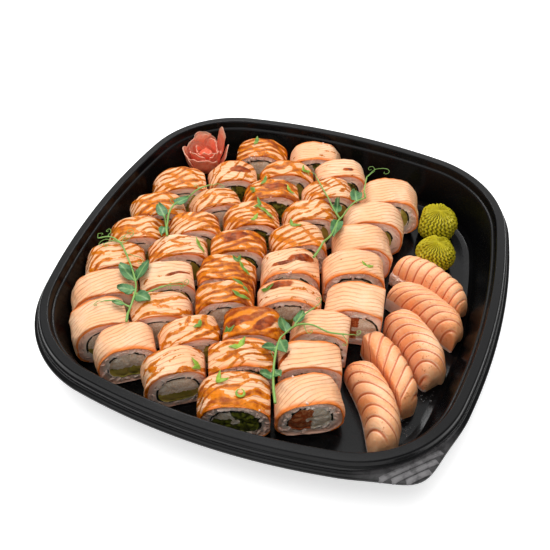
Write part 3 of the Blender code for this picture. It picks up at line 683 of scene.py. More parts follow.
def past_rim(places):
    """Distance of points outside the rim's outline, and the outward directions there."""
    centre, start = corner_arc()
    side = RIM_HALF - SIDE_BOW
    flipped = np.abs(places)
    from_corner = flipped - centre
    angle = np.arctan2(from_corner[..., 1], from_corner[..., 0])
    in_corner = (angle >= start) & (angle <= math.pi / 2 - start)
    wide = flipped[..., 0] > flipped[..., 1]
    hub = np.where(wide[..., None], np.array([side, 0.0]), np.array([0.0, side]))
    vector = np.where(in_corner[..., None], from_corner, flipped - hub)
    radius = np.where(in_corner, RIM_CORNER, SIDE_BOW)
    length = np.linalg.norm(vector, axis=-1)
    outward = vector / np.maximum(length, 1e-6)[..., None]
    return length - radius, np.copysign(outward, places)


def squeeze(room, softness=1.5):
    """Room that is left, eased so that it never falls below zero."""
    return np.where(room > softness, room, softness * np.exp(np.minimum(room, softness) / softness - 1.0))


def press(points, planes, depth=0.0):
    """Points pushed back from the neighbours' planes and from the tray's wall."""
    points = np.array(points, float)
    place = points[..., :2]
    offsets, heights, _ = zip(*TRAY_INSIDE)
    wall = np.interp(points[..., 2], heights, offsets) - GAP - depth
    for _ in range(3):
        for toward, meeting in planes:
            room = meeting - depth - place @ toward
            place -= toward * (squeeze(room) - room)[..., None]
        outside, outward = past_rim(place)
        room = wall - outside
        place -= outward * (squeeze(room) - room)[..., None]
    return points


# Rolls

def arch_height(share, height):
    """Height of a roll's arch at a share of its half width."""
    cosine = np.minimum(np.abs(share), 1.0) ** (1.0 / ARCH_POWER)
    return SHOULDER + (height - SHOULDER) * (1.0 - cosine ** 2) ** (ARCH_POWER / 2)


def roll_contour(width, height, count):
    """Evenly spaced closed loop round a roll's section, from the middle of the underside by the left."""
    half = width / 2
    angle = np.linspace(0.0, math.pi, 200)
    arch_x = -np.sign(np.cos(angle)) * np.abs(np.cos(angle)) ** ARCH_POWER * half
    arch_z = SHOULDER + (height - SHOULDER) * np.abs(np.sin(angle)) ** ARCH_POWER
    foot_x = -half + FOOT_ROUND * np.array([0.0, 1.0, 0.58, 0.27, 0.09, 0.02])
    foot_x[0] = 0.0
    foot_z = np.array([0.0, 0.0, 1.2, 4.0, 7.2, 9.4])
    x = np.concatenate([foot_x, arch_x, -foot_x[:0:-1], [0.0]])
    z = np.concatenate([foot_z, arch_z, foot_z[:0:-1], [0.0]])
    run = np.concatenate([[0.0], np.cumsum(np.hypot(np.diff(x), np.diff(z)))])
    want = np.linspace(0.0, run[-1], count, endpoint=False)
    return np.interp(want, run, x), np.interp(want, run, z), want - run[-1] / 2


def grain_ball():
    """Unit ball of few faces for a grain."""
    rings, sides = 4, 6
    points = [(0.0, 0.0, 1.0)]
    for ring in range(1, rings):
        tilt = math.pi * ring / rings
        for side in range(sides):
            swing = 2 * math.pi * side / sides
            points.append((math.sin(tilt) * math.cos(swing), math.sin(tilt) * math.sin(swing),
                           math.cos(tilt)))
    points.append((0.0, 0.0, -1.0))
    faces = []
    for side in range(sides):
        after = (side + 1) % sides
        faces.append((0, 1 + side, 1 + after))
        for ring in range(rings - 2):
            start = 1 + ring * sides
            faces.append((start + side, start + sides + side, start + sides + after))
            faces.append((start + side, start + sides + after, start + after))
        last = 1 + (rings - 2) * sides
        faces.append((last + side, len(points) - 1, last + after))
    return np.array(points), np.array(faces)


GRAIN_POINTS, GRAIN_FACES = grain_ball()


def add_grains(shape, centres, directions, draw, slot, blush, planes, size=(2.7, 1.1, 1.0)):
    """Rice grains as stretched balls at the centres, lying roughly along the directions."""
    for centre, direction, pink in zip(centres, directions, blush):
        direction = direction / np.linalg.norm(direction)
        helper = np.array([0.0, 0.0, 1.0]) if abs(direction[2]) < 0.8 else np.array([1.0, 0.0, 0.0])
        second = np.cross(direction, helper)
        second /= np.linalg.norm(second)
        third = np.cross(direction, second)
        scale = draw.uniform(0.85, 1.12)
        axes = np.stack([third * size[2], second * size[1], direction * size[0]]) * scale
        points = centre + GRAIN_POINTS @ axes
        shape.add(press(points, planes), GRAIN_FACES, slot, blush=np.full(len(points), pink))


SALMON, RICE, NORI, CHEESE, AVOCADO, GREENS, STRIP, ONION = range(8)

# Rings of a cut face from the edge inward: scale about the core, depth, slot
FACE_RINGS = ((0.948, -0.4, SALMON), (0.938, -0.12, SALMON), (0.92, -0.1, SALMON), (0.90, -0.4, SALMON),
              (0.885, -1.5, RICE), (0.81, -1.3, RICE), (0.73, -1.5, RICE), (0.66, -1.5, RICE),
              (0.63, -1.1, NORI), (0.60, -1.1, NORI), (0.58, -2.2, None), (0.50, -1.7, None),
              (0.38, -1.4, None), (0.24, -1.5, None), (0.12, -1.5, None))


def filling_slots(kind, x, z):
    """Slots of the filling's faces by their place about the core."""
    if kind == "avocado":
        return np.where(z > -1.5, CHEESE, AVOCADO)
    if kind == "greens":
        return np.where(x + 0.4 * z > 1.0, GREENS, np.where(z > 3.0, CHEESE, GREENS))
    if kind == "salmon":
        return np.where(x < 1.5, STRIP, CHEESE)
    return np.where(x - 0.5 * z > 3.0, AVOCADO, CHEESE)


def drop(v, half):
    """Share of the droop of a roll's cover at a place along it, full at the ends."""
    return max(0.0, (abs(v) - half + 5.0) / 4.0) ** 2


def roll_rows(half):
    """Rows of a roll's surface from the back face's middle to the front's: scale, place along, slot."""
    places = np.linspace(-half + 1.0, half - 1.0, ROLL_ALONG)
    cover = [(1.0 - END_DROP * drop(v, half), v, SALMON) for v in places]
    back = [(scale, -half - depth, slot) for scale, depth, slot in FACE_RINGS[::-1]]
    front = [(scale, half + depth, slot) for scale, depth, slot in FACE_RINGS]
    return back + cover + front


def pool_field(name, u, v, half):
    """How far inside a pool of thick sauce each point lies, 1 at a pool's middle."""
    field = np.zeros(u.shape)
    for share_u, share_v, half_u, half_v, turn in POOLS.get(name, ()):
        angle = math.radians(turn)
        du = u - share_u * POOL_REACH
        dv = -(v - share_v * half)
        along_pool = du * math.cos(angle) + dv * math.sin(angle)
        over_pool = -du * math.sin(angle) + dv * math.cos(angle)
        field = np.maximum(field, 1.0 - np.hypot(along_pool / half_u, over_pool / half_v) * 0.55)
    return field


def cover_swell(local, fibre, pool, seed):
    """Rise of the cover over its plain arch: soft lumps, fibre grooves and pools."""
    groove = unit(1.0 - np.abs((fibre % 1.0) - 0.5) / 0.22)
    depth = 0.24 * groove ** 2 * np.clip(0.7 + 0.6 * lumps(local, 18.0, seed + 6), 0.1, 1.4)
    swell = 0.70 * lumps(local, 17.0, seed) + 0.24 * lumps(local, 6.0, seed + 1)
    return swell - depth + 0.5 * unit((pool - 0.45) / 0.3)


def stripe_phases(u, v, local, slant, spacing, seed, draw):
    """Phases of the sauce's stripes and of the sparse ones that cross them."""
    angle = math.radians(slant)
    phase = (v * math.cos(angle) + u * math.sin(angle)
             + 2.8 * lumps(local, 26.0, seed + 60)) / spacing + draw.uniform(0, 1)
    angle = angle - math.radians(draw.uniform(30, 60))
    crossing = (v * math.cos(angle) + u * math.sin(angle)
                + 2.5 * lumps(local, 28.0, seed + 65)) / (spacing * 2.3) + draw.uniform(0, 1)
    return phase, crossing


def roll_slots(rows, x, z, contour_z, filling, seed):
    """Slot of each face of a roll's surface."""
    slots = []
    for number in range(len(rows) - 1):
        chosen = SALMON
        if number < len(FACE_RINGS) - 1:
            chosen = rows[number][2]
        elif number >= len(FACE_RINGS) + ROLL_ALONG:
            chosen = rows[number + 1][2]
        middle_x = (x[number] + x[number + 1]) / 2
        middle_z = (z[number] + z[number + 1]) / 2 - CORE_HEIGHT
        if chosen is None:
            slots.append(filling_slots(filling, middle_x, middle_z))
        elif chosen == NORI:
            broken = lumps(np.stack([middle_x, middle_z, 0 * middle_x + number], -1), 13.0, seed + 5)
            slots.append(np.where(broken > -0.35, NORI, RICE))
        elif chosen == SALMON:
            slots.append(np.where(contour_z < 1.6, RICE, SALMON))
        else:
            slots.append(np.full(ROLL_AROUND, chosen))
    return np.concatenate(slots)


def add_face_grains(shape, piece, contour_x, contour_z, planes, draw):
    """Rice grains on both cut faces."""
    across, along = piece_axes(piece["turn"])
    for side in (-1.0, 1.0):
        pick = draw.integers(0, ROLL_AROUND, FACE_GRAINS)
        depth = draw.uniform(0.68, 0.865, FACE_GRAINS)
        x = contour_x[pick] * depth
        z = CORE_HEIGHT + (contour_z[pick] - CORE_HEIGHT) * depth
        face = side * (piece["length"] / 2 - 1.5 + draw.uniform(-0.2, 0.35, FACE_GRAINS))
        centres = in_tray(piece, x, face + piece["lean"] * z / piece["height"], BASE + np.maximum(z, 1.2))
        tangent = np.arctan2(z - CORE_HEIGHT, x) + math.pi / 2 + draw.normal(0, 0.7, FACE_GRAINS)
        lift = draw.normal(0, 0.25, FACE_GRAINS)
        flat = np.cos(tangent)[:, None] * across + lift[:, None] * along
        directions = np.column_stack([flat, np.sin(tangent)])
        add_grains(shape, centres, directions, draw, RICE, (depth - 0.66) / 0.165 * 0.8, planes)


def build_roll(piece, planes, materials, seed):
    """Roll with a soft grooved cover under sauce, and rice, nori and filling in its cut faces."""
    draw = np.random.default_rng(seed)
    name = piece["name"]
    cover, slant, spacing, dark, sear, filling = ROLL_LOOKS[name]
    half = piece["length"] / 2
    contour_x, contour_z, around = roll_contour(piece["width"], piece["height"], ROLL_AROUND)
    rows = roll_rows(half)
    scale = np.array([row[0] for row in rows])[:, None]
    along_row = np.array([row[1] for row in rows])[:, None]
    x = contour_x * scale
    z = CORE_HEIGHT + (contour_z - CORE_HEIGHT) * scale
    u = np.broadcast_to(around, x.shape)
    v = np.broadcast_to(along_row, x.shape).copy()
    local = np.stack([x, v, z], -1)

    # Shape of the cover and of the ragged faces
    fibre_slant = math.radians(draw.uniform(-10, 24))
    bend = draw.uniform(-0.10, 0.22)
    fibre = (v * math.cos(fibre_slant) + u * math.sin(fibre_slant) + bend * np.abs(u) ** 1.5 / 6
             + 1.3 * lumps(local, 30.0, seed + 50)) / draw.uniform(2.5, 3.5)
    pool = pool_field(name, u, v, half)
    swell = cover_swell(local, fibre, pool, seed)
    radial = np.stack([contour_x / piece["width"] * 2, np.maximum(contour_z - CORE_HEIGHT, 0) / 20.0], -1)
    radial /= np.maximum(np.linalg.norm(radial, axis=-1, keepdims=True), 1e-6)
    inside = unit((scale - 0.88) / 0.07)
    upper = unit((contour_z - 1.5) / 4.0)
    x = x + radial[:, 0] * swell * inside * upper
    z = z + radial[:, 1] * swell * inside * upper
    ragged = 0.5 * lumps(np.stack([u, u * 0 + seed, np.sign(v) * 30], -1), 14.0, seed + 2)
    v = v + ragged * np.where(np.abs(along_row) > half - 2.2, 1.0, 0.0) * np.sign(v) * inside
    face_bump = 0.35 * lumps(local, 3.2, seed + 3) + 0.30 * lumps(local, 7.0, seed + 4)
    v = v + face_bump * (scale < 0.89) * np.sign(v)
    lean = piece["lean"] * z / piece["height"]
    points = press(in_tray(piece, x, v + lean, BASE + np.maximum(z, 0.0)), planes)

    # Attributes for the looks
    phase, crossing = stripe_phases(u, v, local, slant, spacing, seed, draw)
    edge_side = unit((15.0 - contour_z) / 12.0) * 0.35
    rim = unit((np.abs(v) - (half - 2.6)) / 1.6) * np.clip((scale - 0.86) / 0.05, 0.55, 1)
    flesh = np.stack([fibre, np.full(x.shape, piece["tone"]), unit(rim + edge_side)], -1)
    patchy = cover * np.clip(1.0 + 0.35 * lumps(local, 26.0, seed + 70), 0.2, 1.5) + dark * 0.1
    sauce = np.stack([phase, patchy * upper, pool], -1)
    blush = unit((scale - 0.72) / 0.14) * np.ones_like(x)
    shape = Shape()
    shape.add(points, tube_faces(len(rows), ROLL_AROUND), roll_slots(rows, x, z, contour_z, filling, seed),
              flesh=flesh.reshape(-1, 3), sauce=sauce.reshape(-1, 3), sear=np.full(x.size, sear),
              blush=blush.ravel(), crossing=crossing.ravel())
    shape.close(points[0], True, CHEESE)
    shape.close(points[-1], False, CHEESE)
    add_face_grains(shape, piece, contour_x, contour_z, planes, draw)
    for entry in SLIVERS:
        if entry[0] == name:
            add_sliver(shape, piece, *entry[1:], draw)
    dressed = shape.finish(f"roll_{name}_dressed", materials)
    place(dressed, "roll", f"roll_{name}")


def add_sliver(shape, piece, side_share, along_share, turn, length, kink, shade, draw):
    """Flat strip of spring onion lying on the roll, bent in the middle or rolled to a ring."""
    across, along = piece_axes(piece["turn"])
    middle = np.array([piece["x"], piece["y"]]) + across * side_share * piece["width"] / 2
    middle = middle + along * along_share * piece["length"] / 2
    ring = abs(kink) > RING_KINK
    t = np.linspace(-0.5, 0.5, SLIVER_ALONG)
    heading = np.radians(piece["turn"] + turn + kink * (t if ring else np.tanh(t * 22.0) / 2))
    forward = np.stack([np.cos(heading), np.sin(heading)], -1)
    aside = np.stack([-np.sin(heading), np.cos(heading)], -1)
    path = np.cumsum(forward, 0) * length / (SLIVER_ALONG - 1)
    path = path - path.mean(0) + middle
    w = np.linspace(-1.0, 1.0, SLIVER_ACROSS)
    taper = np.minimum(1.0, 0.14 + 3.2 * (0.5 - np.abs(t))) * (1.0 + 0.12 * np.sin(t * 17 + turn))
    width = SLIVER_WIDTH * (0.5 if ring else draw.uniform(0.8, 1.1))
    half = width / 2 * taper[:, None]
    spots = path[:, None] + aside[:, None] * (half * w[None])[..., None]
    share = (spots - np.array([piece["x"], piece["y"]])) @ across / (piece["width"] / 2)
    fold = 0.35 * half * np.cos(w[None] * 1.5) + 0.25 * np.sin(t * 11 + turn)[:, None]
    shells = []
    for thickness in (0.25, -0.25):
        tip = draw.uniform(0.6, 1.8) * (2 * np.abs(t[:, None])) ** 3
        lift = BASE + arch_height(share, piece["height"]) + 0.45 + fold + thickness + tip
        shells.append(np.concatenate([spots, lift[..., None]], -1))
    loops = np.concatenate([shells[0], shells[1][:, ::-1]], 1)
    upper_pale = np.abs(w)[None] ** 3 * np.ones((SLIVER_ALONG, 1)) * 0.5
    pale = np.concatenate([upper_pale, np.full((SLIVER_ALONG, SLIVER_ACROSS), 0.9)], 1)
    pale += unit((np.abs(t)[:, None] - 0.42) / 0.08) * 0.5
    columns = SLIVER_ACROSS * 2
    shape.add(loops, tube_faces(SLIVER_ALONG, columns)[:, ::-1], ONION, pale=unit(pale).ravel(),
              shade=np.full(SLIVER_ALONG * columns, shade))
    for row, flip in ((0, False), (-1, True)):
        shape.close(loops[row], flip, ONION, shade=np.full(columns + 1, shade))


def place(piece, slot, *nodes):
    """Piece rides on the one body and stands for the nodes, which it hides; slot is not used."""
    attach(piece, "root")
    if nodes:
        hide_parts(*nodes)


# Tray

def soften(profile, reach=0.45):
    """Profile with each inner corner cut into a short curve."""
    result = [profile[0]]
    for before, here, after in zip(profile, profile[1:], profile[2:]):
        before, here, after = (np.array(station, float) for station in (before, here, after))
        inward = (before + after) / 2
        for toward, pace, most in ((before, reach, 0.4), (inward, 0.12 * reach, 0.2), (after, reach, 0.4)):
            step = toward - here
            length = max(np.linalg.norm(step[:2]), 1e-6)
            result.append(tuple(here + step * min(pace / length, most)))
    return result + [profile[-1]]


def rim_loop(offset, height, tab_share):
    """Fine bowed rounded square, with the front right corner pulled out for the tab."""
    centre, start = corner_arc()
    side = RIM_HALF - SIDE_BOW
    points = []
    for quarter in range(4):
        low = np.linspace(0.0, start, 14, endpoint=False)
        corner = np.linspace(start, math.pi / 2 - start, 37)
        high = np.linspace(start, 0.0, 14, endpoint=False)[1:]
        x = np.concatenate([side + (SIDE_BOW + offset) * np.cos(low),
                            centre + (RIM_CORNER + offset) * np.cos(corner),
                            (SIDE_BOW + offset) * np.sin(high)])
        y = np.concatenate([(SIDE_BOW + offset) * np.sin(low),
                            centre + (RIM_CORNER + offset) * np.sin(corner),
                            side + (SIDE_BOW + offset) * np.cos(high)])
        turn = math.pi / 2 * quarter
        turned = np.stack([x * math.cos(turn) - y * math.sin(turn),
                           x * math.sin(turn) + y * math.cos(turn)], -1)
        if quarter == 3:
            over = (turned[:, 0] + turned[:, 1]) / math.sqrt(2) - TAB_SHIFT
            pull = tab_share * TAB_REACH * np.exp(-(over / TAB_SPREAD) ** 2) / math.sqrt(2)
            turned += np.stack([pull, -pull], -1)
        points.append(turned)
    flat = np.concatenate(points)
    return np.concatenate([flat, np.full((len(flat), 1), height)], -1)


def add_droplets(shape):
    """Small drops of water on the tray's floor."""
    draw = np.random.default_rng(41)
    for x, y, spread, count in DROPLETS:
        for _ in range(count):
            radius = 0.25 + 0.6 * draw.random() ** 3
            place = np.array([x, y]) + draw.normal(0, spread, 2)
            centre = np.array([*place, FLOOR])
            shape.add(centre + GRAIN_POINTS * np.array([radius, radius, 0.6 * radius]), GRAIN_FACES, 1)


def build_tray(materials):
    """Tray from its profile carried round the rim, with a closed floor above and below."""
    profile = soften(TRAY_INSIDE + TRAY_OUTSIDE + TRAY_UNDER)
    loops = np.stack([rim_loop(*station) for station in profile])
    rows, columns = loops.shape[:2]
    shape = Shape()
    # Where the outer flange near the front right corner takes grey scuffs and painted reflection
    from_corner = np.hypot(loops[..., 0] - 105.0, loops[..., 1] + 105.0)
    outer = np.array([station[0] > 2.0 and station[1] > 28.3 for station in profile])
    scuff = 0.7 * unit(1.4 - from_corner / 28.0) * outer[:, None]
    shape.add(loops, tube_faces(rows, columns)[:, ::-1], 0, scuff=scuff.ravel())
    for row, flip in ((0, False), (rows - 1, True)):
        inner = np.stack([loops[row] * np.array([share, share, 1.0]) for share in FLOOR_RINGS])
        faces = tube_faces(len(inner), columns)
        shape.add(inner, faces[:, ::-1] if flip else faces, 0)
        shape.close(inner[-1], flip, 0)
    add_tab_bars(shape)
    add_droplets(shape)
    dressed = shape.finish("tray_dressed", materials)
    place(dressed, "tray", "tray")


def add_tab_bars(shape):
    """Raised bars across the tab at the front right corner."""
    outward = np.array([1.0, -1.0]) / math.sqrt(2)
    sideways = np.array([1.0, 1.0]) / math.sqrt(2)
    centre, _ = corner_arc()
    flange = centre * math.sqrt(2) + RIM_CORNER + 4.9
    across, heights = np.array(TAB_BAR_SECTION).T
    for number, half_length in enumerate(TAB_RIBS):
        middle = flange - 1.6 + TAB_RIB_PITCH * number
        ends = np.linspace(-half_length, half_length, TAB_BAR_ROWS) + TAB_SHIFT
        fade = np.clip((half_length - np.abs(ends - TAB_SHIFT)) / 1.5, 0.15, 1.0)
        xy = outward * (middle + across)[None, :, None] + sideways * ends[:, None, None]
        z = TAB_BAR_FOOT + (heights - TAB_BAR_FOOT)[None] * fade[:, None]
        bar = np.concatenate([xy, z[..., None]], -1)
        # The bars take grey scuffs and painted reflection
        shape.add(bar, tube_faces(TAB_BAR_ROWS, len(across)), 0, scuff=np.full(z.size, 0.9))


# Nigiri, wasabi and ginger

def build_nigiri(number, piece, planes, materials):
    """Slice of salmon with cross grooves over a low block of rice."""
    length, width, height, bend, spacing, slant, bare = NIGIRI[number - 1][3:]
    seed = 300 + number * 10
    stations = np.sin(np.linspace(-math.pi / 2, math.pi / 2, NIGIRI_ALONG))[:, None]
    angle = np.linspace(0.0, math.pi, NIGIRI_AROUND)
    swell = np.sqrt(np.maximum(1.0 - np.abs(stations) ** 4.0, 0.0))
    half = (width - abs(bend)) / 2 * (0.48 + 0.52 * swell)
    side = -np.sign(np.cos(angle)) * np.abs(np.cos(angle)) ** ARCH_POWER
    up = np.abs(np.sin(angle)) ** ARCH_POWER
    u = side * half
    s = u + bend * (0.5 - stations ** 2)
    h = up * (height * (0.42 + 0.58 * swell))
    a = np.broadcast_to(stations * length / 2, s.shape)
    local = np.stack([s, a, h], -1)

    # Grooves across the slice, with soft swells between them
    phase = (a + slant * u - 0.01 * u ** 2 + 0.8 * lumps(local, 40.0, seed)) / spacing
    near = np.abs(phase % 1.0 - 0.5) * spacing
    groove = unit(1.0 - near / 1.1) ** 1.3
    away = unit((h - 2.0) / 4.0) * unit((0.98 - np.abs(stations)) / 0.12)
    puff = 0.5 * np.sin(unit(near / spacing * 2) * math.pi / 2)
    relief = (-0.9 * groove + puff + 0.35 * lumps(local, 14.0, seed + 1)) * away
    s = s + side * relief
    h = h + up * relief
    points = press(in_tray(piece, s, a, BASE + np.maximum(h, 0.0)), planes)

    # Salmon above, rice below its edge and where it is bare
    rice = h < 1.2 + 0.8 * lumps(local, 9.0, seed + 3)
    if bare:
        rice |= (u < -half * 0.30) & (stations < -0.35) & (h < height * 0.42)
    tone = unit(0.45 + 0.5 * lumps(local, 24.0, seed + 2))
    flesh = np.stack([phase, away, tone], -1)
    # Strength of the painted highlight on the lips beside the grooves
    pale = 0.8 if number == 3 else 0.45
    shape = Shape()
    shape.add(points, sheet_faces(*s.shape), np.where(rice[:-1, :-1].ravel(), 1, 0),
              flesh=flesh.reshape(-1, 3), blush=np.full(s.size, 0.3), pale=np.full(s.size, pale))
    bottom = np.stack([points[:, 0], points[:, -1]], 1)
    shape.add(bottom, sheet_faces(NIGIRI_ALONG, 2)[:, ::-1], 1, blush=np.full(NIGIRI_ALONG * 2, 0.3))
    for row, flip in ((0, False), (-1, True)):
        shape.close(points[row], flip, 0, flesh=np.full((NIGIRI_AROUND + 1, 3), 0.2))
    draw = np.random.default_rng(seed)
    spots = np.argwhere(rice & (h > 0.8) & (np.abs(stations) < 0.98))
    if len(spots):
        pick = spots[draw.integers(0, len(spots), 150 if bare else 24)]
        centres = points[pick[:, 0], pick[:, 1]]
        directions = draw.normal(size=(len(pick), 3))
        blush = draw.uniform(0.0, 0.5, len(pick))
        add_grains(shape, centres, directions, draw, 1, blush, planes, (2.4, 1.0, 0.9))
    dressed = shape.finish(f"nigiri_{number}_dressed", materials)
    place(dressed, "nigiri", f"nigiri_{number}")


def build_wasabi(number, entry, planes, material):
    """Ball piped in fine wavy ridges that run down from near its top."""
    x0, y0, radius, height = entry
    seed = 500 + number
    polar = np.radians(np.linspace(2.0, 150.0, WASABI_DOWN))
    angle = np.linspace(0.0, 2 * math.pi, WASABI_AROUND, endpoint=False)
    p, q = np.meshgrid(polar, angle, indexing="ij")
    zigzag = np.sin(p * 24.0 + 0.8 * np.sin(q * 5 + seed)) * unit((p - 0.15) / 0.4)
    strand = np.cos((q + 0.10 * np.sin(p * 3.0 + seed)) * WASABI_RIDGES + zigzag)
    fade = np.clip(p / 0.22, 0.2, 1) * unit((2.5 - p) / 0.4)
    uneven = 0.5 * lumps(np.stack([p * radius, q * radius, 0 * p], -1), 12.0, seed)
    out = radius * np.sin(p) ** 0.9 + (1.05 * strand + uneven) * fade * np.sin(p)
    up = height / 1.85 * (0.85 + np.cos(p)) + (0.8 * strand + uneven) * fade * np.cos(p)
    points = np.stack([x0 + out * np.cos(q), y0 + out * np.sin(q), BASE + np.maximum(up, 0.0)], -1)
    points = press(points, planes)
    # Mask of painted shade in the recesses between the ridges
    groove = unit(0.1 - 0.9 * strand) * fade
    shape = Shape()
    shape.add(points, tube_faces(*p.shape), 0, groove=groove.ravel())
    shape.close(points[0], True, 0)
    shape.close(points[-1], False, 0)
    dressed = shape.finish(f"wasabi_{number}_dressed", [material])
    place(dressed, "wasabi", f"wasabi_{number}")


def ginger_petal(shape, entry, planes, seed):
    """Thin curved slice round the bud with a ruffled rim that leans outward to a point."""
    direction, spread, out, top, lean, point = entry
    foot = GINGER_CORE_RADIUS * 0.9
    rise = np.linspace(0.0, 1.0, PETAL_UP)[:, None]
    swing = np.linspace(-1.0, 1.0, PETAL_AROUND)[None]
    middle = math.radians(direction)
    shells = []
    for inset in (0.0, 0.9):
        angle = middle + math.radians(spread) * swing * (1.0 - 0.22 * rise ** 2)
        crest = 1.0 - 0.17 * np.abs(swing - point) ** 1.6
        flat = np.stack([angle * 9.0, rise * 12.0 + 0 * swing, 0 * angle + seed], -1)
        ruffle = lumps(flat, 8.0, seed)
        radius = foot + (out - foot) * np.sin(np.minimum(rise * 1.6, 1.0) * math.pi / 2)
        radius = radius + lean * rise ** 2 - inset + 0.7 * ruffle * rise ** 2
        radius = radius + 0.8 * rise ** 8
        jagged = 0.9 * lumps(np.stack([angle * 14.0, 0 * angle, 0 * angle + seed], -1), 5.0, seed + 5)
        height = BASE + 1.5 + (top - 1.5) * rise * crest + (0.5 * ruffle + jagged * rise ** 3) * rise
        shell = np.stack([GINGER_PLACE[0] + radius * np.cos(angle), GINGER_PLACE[1] + radius * np.sin(angle),
                          height], -1)
        shells.append(press(shell, planes, inset))
    loops = np.concatenate([shells[0], shells[1][:, ::-1]], 1)
    pale = unit((rise - 0.90) / 0.1) * np.ones_like(swing) * 0.5
    pale = np.concatenate([pale, pale[:, ::-1]], 1)
    shape.add(loops, tube_faces(PETAL_UP, PETAL_AROUND * 2)[:, ::-1], 0, pale=pale.ravel())
    shape.close_sheet(PETAL_UP, PETAL_AROUND)


def build_ginger(planes, material):
    """Rose of petals round a core of rolled slices."""
    shape = Shape()
    rise = np.linspace(0.0, 1.0, CORE_UP)[:, None]
    angle = np.linspace(0.0, 2 * math.pi, CORE_AROUND, endpoint=False)[None]
    ring = np.interp(rise, (0.0, 0.2, 0.5, 0.8, 1.0), (0.55, 0.85, 1.0, 0.80, 0.12)) * GINGER_CORE_RADIUS
    spiral = np.sin(angle - rise * 9.0) + 0.4 * np.sin(2 * angle + 4.0 * rise)
    ring = ring + 0.9 * spiral * np.sin(rise * math.pi)
    height = BASE + 23.0 * rise + 0.9 * np.sin(angle + 1.0) * rise
    core = np.stack([GINGER_PLACE[0] + ring * np.cos(angle),
                     GINGER_PLACE[1] + ring * np.sin(angle), height], -1)
    core = press(core, planes)
    shape.add(core, tube_faces(CORE_UP, CORE_AROUND)[:, ::-1], 0, pale=np.zeros(CORE_UP * CORE_AROUND))
    shape.close(core[0], False, 0)
    shape.close(core[-1], True, 0)
    for number, entry in enumerate(GINGER_PETALS):
        ginger_petal(shape, entry, planes, 700 + number)
    dressed = shape.finish("ginger_rose_dressed", [material])
    place(dressed, "ginger", "ginger_rose")


# Pea shoots

def food_height(x, y, pieces):
    """Height of the food under a place, taken from the pieces' arches."""
    best = 20.0
    for piece in pieces:
        across, along = piece_axes(piece["turn"])
        offset = np.array([x - piece["x"], y - piece["y"]])
        if abs(offset @ along) < piece["length"] / 2 and abs(offset @ across) < piece["width"] / 2:
            best = max(best, float(arch_height(offset @ across / (piece["width"] / 2), piece["height"])))
    return BASE + best


def laid_height(x, y, pieces):
    """Height at which something laid over the food clears it."""
    around = [(0, 0), (4, 0), (-4, 0), (0, 4), (0, -4), (3, 3), (-3, 3), (3, -3), (-3, -3)]
    return max(food_height(x + dx, y + dy, pieces) for dx, dy in around) + 1.2


def smooth_route(route, steps=8):
    """Points of a curve through the given places of the tray."""
    places = [np.array(place, float) for place in route]
    ends = [places[0] * 2 - places[1]] + places + [places[-1] * 2 - places[-2]]
    curve = []
    for before, start, finish, after in zip(ends, ends[1:], ends[2:], ends[3:]):
        for step in range(steps):
            t = step / steps
            curve.append(0.5 * ((2 * start) + (finish - before) * t
                                + (2 * before - 5 * start + 4 * finish - after) * t ** 2
                                + (3 * start - before - 3 * finish + after) * t ** 3))
    return curve + [ends[-2]]


def add_tube(shape, line, radii, slot, sides=8):
    """Tube along a line of points, closed at both ends."""
    line = np.asarray(line, float)
    ahead = np.gradient(line, axis=0)
    ahead /= np.maximum(np.linalg.norm(ahead, axis=1, keepdims=True), 1e-9)
    aside = np.cross(ahead, [0.0, 0.0, 1.0])
    aside /= np.maximum(np.linalg.norm(aside, axis=1, keepdims=True), 1e-9)
    upward = np.cross(aside, ahead)
    angle = np.linspace(0, 2 * math.pi, sides, endpoint=False)
    radii = np.broadcast_to(radii, len(line))
    loops = (line[:, None] + aside[:, None] * (np.cos(angle)[None, :, None] * radii[:, None, None])
             + upward[:, None] * (np.sin(angle)[None, :, None] * radii[:, None, None]))
    shape.add(loops, tube_faces(len(line), sides), slot)
    shape.close(loops[0], True, slot)
    shape.close(loops[-1], False, slot)


def add_stem(shape, route, radius, pieces, spine):
    curve = smooth_route(route)
    heights = [laid_height(*place, pieces) + radius for place in curve]
    for _ in range(6):
        padded = [heights[0]] + heights + [heights[-1]]
        heights = [max(height, (low + high) / 2) for low, height, high in zip(padded, heights, padded[2:])]
    if spine:
        root = nearest(spine, curve[0])
        curve[0], heights[0] = root[:2], root[2]
    line = np.column_stack([np.array(curve), heights])
    share = np.linspace(0, 1, len(line))
    radii = radius * (1.0 - 0.4 * share) * (1.0 + 0.10 * np.sin(share * 23))
    add_tube(shape, line, radii, 1)
    spine += list(line)


def nearest(spine, place):
    """Point of the stems laid so far that is nearest to a place."""
    return min(spine, key=lambda point: np.linalg.norm(point[:2] - np.asarray(place)))


